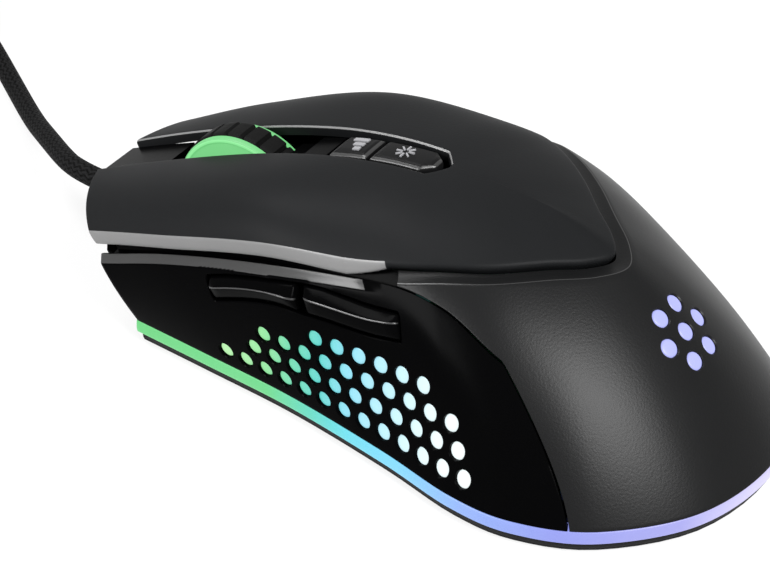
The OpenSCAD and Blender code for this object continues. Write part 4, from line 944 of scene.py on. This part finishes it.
def peg(centre, rows, find, count):
    """Points of rings under the skin round a hole's middle, of a radius and a depth each."""
    return np.stack([under_skin(*find(centre + r * circle(count)).T, np.full(count, depth))
                     for r, depth in rows])


# Middle of the light pipes on the skin, and the directions of their plane
pipe_middle = np.array([8.0, PIPE_RIB])
pipe_origin, pipe_out = skin(*pipe_middle), skin_normal(*pipe_middle)
pipe_across = np.array([1.0, 0, 0])
pipe_up = np.cross(pipe_out, pipe_across)
pipe_centres = np.concatenate([[[0.0, 0.0]], PIPE_RING * circle(6)])


def on_emblem(places):
    """Skin places of the pipes' plane."""
    middle = np.tile(pipe_middle, places.shape[:-1] + (1,))
    return locate(places, pipe_across, pipe_up, middle, pipe_origin)


palm_st, palm_depth = layout(both_halves(palm_low), both_halves(palm_high), np.linspace(0, 46, 185), 44,
    SEAM, GROOVE)
# Painted highlight: two rows at the groove's outer edge wear the grey gloss.
palm = pierced_wall("palm_crown", palm_st, palm_depth, 2.0, palm_satin,
    ring_places(pipe_centres, (PIPE_RADIUS + 0.22, PIPE_RADIUS + 0.06), on_emblem), lip=0.16,
    band=(painted_highlight_gloss, band_points(palm_st, (0, -1), (5, 6))))
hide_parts("palm_shell")


def add_pipes():
    """Seven light pipes: caps just under the palm's skin on a common plate."""
    rows = ((0.01, 0.1), (0.7, 0.11), (1.15, 0.14), (1.35, 0.2), (PIPE_RADIUS - 0.04, 0.34))
    points, faces = [], []
    for k, c in enumerate(pipe_centres):
        cap = peg(c, rows, on_emblem, 24)
        points += [cap.reshape(-1, 3), cap[-1] - 3.2 * pipe_out]
        faces += capped(6, 24, k * 144)
    points.append(rod([(0.01, 0), (7.4, 0), (7.8, 0.3), (7.8, 1.6), (0.01, 1.6)], 24,
        pipe_origin - 3.7 * pipe_out, (pipe_across, pipe_up, -pipe_out)))
    faces += capped(5, 24, len(pipe_centres) * 144)
    made = outward(solid("palm_lights", np.concatenate(points), faces, emblem_light, sharp=40))
    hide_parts("emblem_lens")


add_pipes()

# --- Side panels ---------------------------------------------------------------------------
HOLE_ROWS = [(0, 13), (1.5, 11), (2, 10), (4.5, 6)]
HOLE_FIRST, HOLE_PITCH, HOLE_RADIUS = (22.1, 8.1), 4.05, 1.4
THUMB_LOW = np.array([[1.42, 0.185], [2.29, 0.24], [3.3, 0.36]])
THUMB_HIGH = np.array([[1.42, 0.25], [1.6, 0.26], [1.8, 0.268], [2.0, 0.281], [2.2, 0.306], [2.5, 0.355],
                       [2.76, 0.385], [3.3, 0.44]])
FORWARD_SPAN, BACK_SPAN = (1.42, 2.25), (2.33, 3.3)
LEDGE = np.array([[0, 1.35], [0.07, 1.15], [0.22, 1.02], [0.6, 0.8], [1.05, 0.5], [1.4, 0.22],
                  [1.55, 0.1], [1.75, 0.02], [2.0, 0.0]])
LEDGE_END = 2.87
# Stems of the side buttons; they end at the plungers of their switches
STEM_RADIUS, STEM_END = 1.2, -19.6


def thumb_low(s):
    return np.interp(s, *THUMB_LOW.T)


def thumb_high(s):
    return np.interp(s, *THUMB_HIGH.T)


hole_centres = np.array([[HOLE_FIRST[0] - (first + k) * HOLE_PITCH, HOLE_FIRST[1] + row * HOLE_PITCH
    * math.sqrt(3) / 2] for row, (first, count) in enumerate(HOLE_ROWS) for k in range(count)])


def on_side(places):
    """Skin places of the left side from their [y, z]."""
    s = np.interp(-places[..., 0], [-42, -27, -9, 10.5, 25, 36, 48], [0, 1, 2, 3, 4, 5, 6])
    t = np.clip((places[..., 1] - SKIRT) / 75, 0.01, 0.4)
    return locate(places, (0, 1, 0), (0, 0, 1), np.stack([s, t], -1))


def thumb_window(grow_s, grow_t):
    """Rounded opening for both side buttons, as [s, t] places."""
    end = np.array([0, 0.001, 0.003, 0.007, 0.012])
    e = np.concatenate([end, np.linspace(0.017, 0.983, 42), 1 - end[::-1]])
    s = (FORWARD_SPAN[0] - grow_s) * (1 - e) + (BACK_SPAN[1] + grow_s) * e
    near = np.clip(np.minimum(e, 1 - e) / 0.015, 0, 1)
    corner = np.sqrt(1 - (1 - near) ** 2) * 0.5 + 0.5
    low, high = thumb_low(s) - grow_t, thumb_high(s) + grow_t
    mid, reach = (low + high) / 2, (high - low) / 2 * corner
    return np.concatenate([pair(s, mid - reach), pair(s, mid + reach)[::-1]])


def add_panels():
    """Side panels: the left one with its light holes and the window of the side buttons."""
    end = rounded(0.4, 4)
    cols = dense(0.0, 1.0, 130, first=end, last=SEAM, size=96.0)
    st, depth = layout(lambda a: pair(PANEL_END * a, 0.0),
        lambda a: pair(PANEL_TOP_END * a, panel_t(PANEL_TOP_END * a)), cols, 40, SEAM, LEDGE)
    # Behind the crease the ledge shrinks to a plain seam
    k = len(LEDGE)
    depth[:, -k:] *= np.interp(st[:, -k:, 0], [2.78, 3.1], [1.0, 0.0])
    # The rear end curves forwards as it rises
    rise = st[..., 1] / st[:, -1:, 1]
    st[..., 0] += (PANEL_END - PANEL_TOP_END) * cols[:, None] * rise * (1 - rise)
    depth = np.hypot(depth, end_rounding(st, end, SEAM))
    # Painted highlight: the ledge rows along the panel's top wear the grey gloss, up to the ledge's end.
    painted_ledge_highlight = band_points(st, (0, -1), (1, k - 3)) & (st[:, -1:, 0] < LEDGE_END)
    holes = ring_places(hole_centres, (HOLE_RADIUS + 0.14, HOLE_RADIUS), on_side)
    holes.append([thumb_window(0.031, 0.011), thumb_window(0.027, 0.008)])
    left = pierced_wall("left_flank", st, depth, WALL, side_gloss, holes, lip=0.14, margin=0.3,
        band=(painted_highlight_gloss, painted_ledge_highlight))
    right = skin_wall("right_flank", mirrored(st), depth[::-1], WALL, side_gloss,
        band=(painted_highlight_gloss, painted_ledge_highlight[::-1]))
    for panel, node in ((left, "left_side_panel"), (right, "right_side_panel")):
        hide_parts(node)


add_panels()


def add_flange(name, right):
    """Flange of a side panel under the button's edge: it leaves the panel's inner face and
    steps down to clear the button."""
    s = np.linspace(0.17, 3.45, 70)
    low = np.maximum(panel_t(s) - 0.04, thumb_high(s) + 0.016)
    high = cover_t(s) - np.where(s < FLEX_RIB, 0.02, 0)
    rows = np.array([0, 0.1, 0.25, 0.32, 0.4, 0.55, 0.7, 0.85, 1])
    st = pair(s[:, None], low[:, None] + (high - low)[:, None] * rows)
    depth = np.tile(np.interp(rows, [0.25, 0.4], [WALL - 0.2, 2.7]), (len(s), 1))
    skin_wall(name, mirrored(st) if right else st, depth, 3.7, side_gloss)


add_flange("left_flange", False)
add_flange("right_flange", True)


def thumb_middle(span):
    """Place on the skin that a side button's stem goes in from."""
    s = (span[0] + span[1]) / 2
    return skin(s, (thumb_low(s) + thumb_high(s)) / 2)


def add_tray():
    """Tray behind the side buttons: a dished wall with a bore for each stem."""
    s = np.linspace(FORWARD_SPAN[0] - 0.06, BACK_SPAN[1] + 0.06, 80)
    low, high = thumb_low(s) - 0.022, thumb_high(s) + 0.022
    ends = np.linspace(0, 0.14, 8)
    rows = np.concatenate([ends, np.linspace(0.16, 0.84, 16), ends + 0.86])
    st = pair(s[:, None], low[:, None] + (high - low)[:, None] * rows)
    rim, floor, back = WALL - 0.2, 2.3, 3.3
    depth = np.tile(np.interp(rows, [0.08, 0.16, 0.84, 0.92], [rim, floor, floor, rim]), (len(s), 1))
    bores = []
    for span in (FORWARD_SPAN, BACK_SPAN):
        c = thumb_middle(span)[1:]
        shift = (floor + back) / 2 * skin_normal(*on_side(c))[1:]
        bores += ring_places([c + shift], (STEM_RADIUS + 0.3, STEM_RADIUS + 0.25), on_side)
    tray = pierced_wall("thumb_tray", st, depth, back, side_gloss, bores, lip=2.35, level=floor)


add_tray()


def add_hole_lights():
    """Diffuser behind the panel, with a peg that fills each hole nearly flush."""
    s, rows = np.linspace(1.1, 4.5, 70), np.linspace(0, 1, 16)
    low, high = 0.03, np.minimum(0.18 + 0.03 * (s - 1.1), thumb_low(s) - 0.03)
    plate = pair(s[:, None], low + (high - low)[:, None] * rows)
    front = 2.0
    points, faces = [wall_points(plate, np.full((70, 16), front), 3.2)], walled(70, 16)
    bore = HOLE_RADIUS - 0.05
    rows = ((0.01, 0.42), (0.8, 0.43), (1.12, 0.47), (1.3, 0.56), (bore, 0.7), (bore, front + 0.3),
            (0.01, front + 0.3))
    for k, c in enumerate(hole_centres):
        points.append(peg(c, rows, on_side, 20).reshape(-1, 3))
        faces += capped(len(rows), 20, len(points[0]) + k * len(rows) * 20, True)
    made = solid("hole_lights", np.concatenate(points), faces, hole_light, sharp=50)
    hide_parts("honeycomb_diffuser")


add_hole_lights()


def add_thumb_button(name, node, body, span, crest):
    """Side button: two faces that meet in a proud crest, rounded ends, and its stem."""
    end = rounded(0.5, 6)
    cols = dense(span[0], span[1], 40, first=end, last=end, size=(span[1] - span[0]) * 17.5)
    # Height over the skin across the button: low edge, crest, upper face falling inwards
    b, rise = np.array([[0, -0.5], [0.02, -0.1], [0.06, 0.12], [0.15, 0.35], [0.3, 0.72], [0.42, 1.0],
        [0.5, 1.2], [0.54, 1.27], [0.57, 1.28], [0.6, 1.22], [0.64, 1.1], [0.7, 0.9], [0.8, 0.52],
        [0.9, 0.14], [0.97, -0.15], [1.0, -0.6]]).T
    low, high = thumb_low(cols), thumb_high(cols)
    top = np.interp(cols, span, crest)
    # The crest line runs at its own share of the button's height
    share = ((top - low) / (high - low))[:, None]
    warp = np.where(b < 0.57, b / 0.57 * share, share + (b - 0.57) / 0.43 * (1 - share))
    t = low[:, None] + (high - low)[:, None] * warp
    s = np.broadcast_to(cols[:, None], t.shape)
    steps = np.linalg.norm(np.diff(skin(s, t), axis=0), axis=-1)
    first = np.concatenate([np.zeros((1, len(b))), np.cumsum(steps, 0)])
    last = first[-1:] - first
    ends = np.hypot(np.interp(first, end[:, 0], end[:, 1]), np.interp(last, end[:, 0], end[:, 1]))
    taper = np.clip(np.minimum(first, last) / 2.2, 0, 1)
    taper = 0.45 + 0.55 * taper * (2 - taper)
    depth = ends - np.where(rise > 0, rise * taper, rise)
    x, y, z = thumb_middle(span)
    stem = rod([(TIP, x + 0.75), (STEM_RADIUS, x + 0.75), (STEM_RADIUS, STEM_END - 0.1),
        (STEM_RADIUS - 0.1, STEM_END), (TIP, STEM_END)], 24, (0, y, z), np.eye(3)[[1, 2, 0]])
    # Painted highlight: a thin strip along the crest wears the grey gloss.
    made = skin_wall(name, pair(s, t), depth, 1.5, side_gloss, body, sharp=38,
        band=(painted_highlight_gloss, np.tile((b > 0.53) & (b < 0.61), (len(cols), 1))), stem=stem, stem_count=24)
    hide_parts(node)


add_thumb_button("forward_thumb_button", "forward_button", "forward_key", FORWARD_SPAN, (0.225, 0.272))
add_thumb_button("back_thumb_button", "back_button", "back_key", BACK_SPAN, (0.295, 0.413))

# --- Base lip and light ring ---------------------------------------------------------------
BASE_FRONT, RING_FRONT = 50.0, 43.5


def plan_line(side_steps=400, front_steps=60):
    """Closed plan outline: ribs' feet all round, then a parabola across the front; and the
    outward directions along it."""
    ribs = np.linspace(0, 2 * LAST, side_steps)
    side = skin(ribs, 0 * ribs)[:, :2]
    c = side[0]
    x = np.linspace(side[-1][0], c[0], front_steps + 2)[1:-1]
    line = np.concatenate([side, pair(x, c[1] + (BASE_FRONT - c[1]) * (1 - (x / c[0]) ** 2))])
    d = np.roll(line, -1, 0) - np.roll(line, 1, 0)
    out = unit(pair(d[:, 1], -d[:, 0]))
    return line, out * np.sign((out * line).sum())


def round_plan(name, line, out, height, profile, material, closed):
    """Bar with a profile [out, up], carried along a plan line at a height."""
    flat = np.zeros(len(line))
    return swept(name, np.column_stack([line, flat + height]), np.column_stack([out, flat]),
        np.tile([0, 0, 1.0], (len(line), 1)), profile, material, closed=closed, sharp=50)


def add_ring():
    """Light ring: a rounded bar carried round the ribs' feet, open at the front."""
    line, out = plan_line()
    keep = line[:, 1] <= RING_FRONT + 1e-6
    order = np.roll(np.arange(len(line)), -int(np.argmax(~keep)))
    order = order[keep[order]]
    low = np.array([[-2.2, -1.17], [-0.25, -1.17], [-0.1, -1.1], [-0.02, -0.95], [0.06, -0.5]])
    bar = np.concatenate([low, [[0.08, 0.0]], (low * [1, -1])[::-1]])
    made = round_plan("glow_ring", line[order], out[order], 3.7, bar, ring_light, False)
    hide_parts("light_ring")
    # Lip of the base under the ring
    lip = [[-2.0, 0.72], [-1.35, 0.72], [-1.1, 0.85], [-0.92, 1.3], [-0.88, 2.0], [-0.9, 2.5],
        [-2.0, 2.5]]
    round_plan("base_lip", line, out, 0, lip, base_plastic, True)


add_ring()

# --- Scroll wheel ---------------------------------------------------------------------------
WHEEL_Y, WHEEL_Z, WHEEL_R = 34.2, 19.8, 12.6
RIBS, RIB_STEPS, DISC_STEPS = 24, 14, 144
TYRE_HALF, BORE_RADIUS = 2.4, 1.26


def turned_piece(name, x, radius, material, sharp):
    """Closed piece of rings round the axle; each row of the radius is one step of the turn."""
    steps, places = radius.shape
    c = circle(steps)[:, None]
    p = np.stack([x + 0 * radius, WHEEL_Y + radius * c[..., 0], WHEEL_Z + radius * c[..., 1]], -1)
    faces = [quads(steps, places, round_n=True)]
    return outward(solid(name, p.reshape(-1, 3), faces, material, "wheel", sharp))


def add_tyre():
    """Rubber tyre: a rounded band whose radius dips in a groove between every two ribs."""
    x, drop = np.array([[-TYRE_HALF, -4.0], [-TYRE_HALF, -0.7], [-2.3, -0.3], [-2.05, -0.1], [-1.6, -0.02],
        [-0.8, 0]]).T
    x, drop = np.concatenate([x, [0], -x[::-1]]), np.concatenate([drop, [0], drop[::-1]])
    phase = np.abs(((np.arange(RIBS * RIB_STEPS) / RIB_STEPS) % 1) - 0.5) * 2
    dip = 0.7 * eased(np.clip((phase - 0.76) / 0.16, 0, 1))
    made = turned_piece("wheel_tread", x, WHEEL_R + drop - dip[:, None] * (drop > -1), tyre_rubber, 40)
    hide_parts("wheel_tyre")


def add_disc(name, node, side):
    """Lit disc beside the tyre: a shallow dome inside a thin raised rim."""
    r, x = np.array([[BORE_RADIUS, 1.2], [2.5, 1.2], [4.5, 1.19], [6.5, 1.15], [8.5, 1.05], [10.0, 0.92],
        [10.9, 0.82], [11.15, 0.78], [11.3, 0.84], [11.45, 0.98], [11.7, 1.04], [11.95, 1.0],
        [12.12, 0.88], [12.2, 0.7], [12.2, 0.0], [BORE_RADIUS, 0.0]]).T
    if side > 0:
        r = np.where(r > 9, 9 + (r - 9) * 0.85, r)
    made = turned_piece(name, side * (x + TYRE_HALF), np.tile(r, (DISC_STEPS, 1)), wheel_light, 30)
    made.data.materials.append(wheel_rim_light)
    index = np.zeros((DISC_STEPS, len(r)), np.int32)
    index[:, 9:11] = 1
    made.data.polygons.foreach_set("material_index", index.ravel())
    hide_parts(node)


add_tyre()
add_disc("wheel_glow_left", "wheel_disc_left", -1)
add_disc("wheel_glow_right", "wheel_disc_right", 1)

# --- Channel and keys -------------------------------------------------------------------------
KEY_GAP = 0.75


def half_width(y, inset):
    """Half the width of the channel at y; its rear end runs to a point."""
    return np.interp(y, [-4.2 + inset, -0.2, 5, 62.8], [0.01, 3.7 - inset, 3.7 - inset, 5.2 - inset])


def add_key(name, node, body, front, rear, mark):
    """Key in the channel: crowned top along the ridge with a wide bevel round it that carries a painted
    highlight, and its stem under the mark."""
    edge = np.array([[0.0, 0.9], [0.1, 0.6], [0.25, 0.42], [0.6, 0.22], [0.85, 0.06], [1.05, 0.0]])
    y = dense(front, rear, 36, first=edge, last=edge, size=front - rear)[:, None]
    c = np.array([1.0, 1.0, 0.97, 0.93, 0.83, 0.76, 0.7, 0.4])
    c = np.concatenate([-c, [0], c[::-1]])
    w = half_width(y, KEY_GAP)
    x = w * c
    distance = np.minimum(np.minimum(w * (1 - np.abs(c)), 9), np.minimum(front - y, y - rear))
    drop = np.interp(distance, *edge.T)
    drop = np.where(np.abs(c) >= 1.0, np.maximum(drop, 0.9), drop)
    crown = ridge_at(y) + 0.1 - 0.012 * x ** 2 - drop
    top, under = (np.stack([x, y + 0 * x, z + 0 * x], -1).reshape(-1, 3)
        for z in (crown, ridge_at(y) - 1.65))
    roof = float(ridge_at(mark)) - 1.5
    stem = rod([(TIP, 33.2), (STEM_RADIUS, 33.2), (STEM_RADIUS, roof), (TIP, roof)], 24, (0, mark, 0))
    n, m = x.shape
    # Painted highlight: the bevel round the top wears the grey gloss.
    made = outward(solid(name, np.concatenate([top, under, stem]),
        walled(n, m) + capped(4, 24, 2 * n * m, True), key_satin, body, sharp=24,
        band=(painted_highlight_gloss, (distance > 0.08) & (distance < 0.7))))
    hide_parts(node)


add_key("dpi_key_cap", "dpi_button", "dpi_key", 16.5, 9.55, 13.0)
add_key("mode_key_cap", "mode_button", "mode_key", 8.95, -2.35, 4.0)

# --- CAD nodes that keep their shape ----------------------------------------------------------
FINISHES = {
    base_plastic: "base_shell", foot_slip: "foot_front foot_rear", screw_steel: "base_screws",
    bezel_gloss: "centre_bezel nose_panel", mark_paint: "dpi_mark mode_mark",
    light_plastic: "wheel_hub ring_leds cord_connector wheel_plunger dpi_plunger mode_plunger"
        " forward_plunger back_plunger",
    axle_steel: "wheel_axle carrier_spring", frame_plastic: "wheel_carrier top_board_posts",
    switch_case: "wheel_encoder sensor_chip controller_chip left_switch right_switch wheel_switch"
        " dpi_switch mode_switch forward_switch back_switch",
    board_lacquer: "main_board top_board side_board emblem_board", lens_plastic: "sensor_lens",
    red_plastic: "left_plunger right_plunger", gland_rubber: "cable_gland", lead_sleeve: "inner_lead",
}
for finish, names in FINISHES.items():
    for name in names.split():
        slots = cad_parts[name].data.materials
        if len(slots):
            slots[0] = finish
        else:
            slots.append(finish)


# --- Studio -------------------------------------------------------------------------------------
def add_floor():
    """Pale floor that looks white to the camera and keeps a soft shadow."""
    mesh = bpy.data.meshes.new("floor")
    mesh.from_pydata([(-4, -4, 0), (4, -4, 0), (4, 4, 0), (-4, 4, 0)], [], [(0, 1, 2, 3)])
    f = Finish("floor_paper")
    paper = f.mix(f.noise(8.0), (0.78, 0.78, 0.78, 1), (0.82, 0.82, 0.82, 1))
    white = f.node("Emission", None, {"Color": (1, 1, 1, 1), "Strength": 1.0})
    f.node("OutputMaterial", None, {0: f.node("MixShader", None, {0: f.clear_rays() * 0.82,
        1: f.node("BsdfDiffuse", None, {"Color": paper}), 2: white})})
    mesh.materials.append(f.material)
    floor = bpy.data.objects.new("floor", mesh)
    bpy.context.scene.collection.objects.link(floor)


def add_softbox(name, place, aim, size, power):
    """Square area lamp at a place, turned to an aim point (metres)."""
    data = bpy.data.lights.new(name, "AREA")
    data.shape = "RECTANGLE"
    data.size = data.size_y = size
    data.energy = power
    lamp = bpy.data.objects.new(name, data)
    lamp.location = place
    lamp.rotation_mode = "QUATERNION"
    lamp.rotation_quaternion = (Vector(aim) - Vector(place)).to_track_quat("-Z", "Y")
    bpy.context.scene.collection.objects.link(lamp)


def add_world():
    """Dim even light for the object; white where the camera and clear reflections look."""
    f = Finish("studio", "worlds")
    light = f.clear_rays().span(0, 1, 0.25, 1.0)
    f.node("OutputWorld", None, {0: f.node("Background", None, {"Strength": light})})
    bpy.context.scene.world = f.material


add_floor()
add_world()
add_softbox("front_softbox", (0.0, 0.47, 0.9), (0, 0, 0), 0.4, 6.5)
add_softbox("left_softbox", (-0.7, 0.36, 0.42), (0, 0, 0.02), 0.35, 8.0)
add_softbox("rear_softbox", (-0.26, -0.68, 0.72), (0, -0.03, 0.02), 0.4, 17.0)
bpy.context.scene.view_settings.view_transform = "Standard"
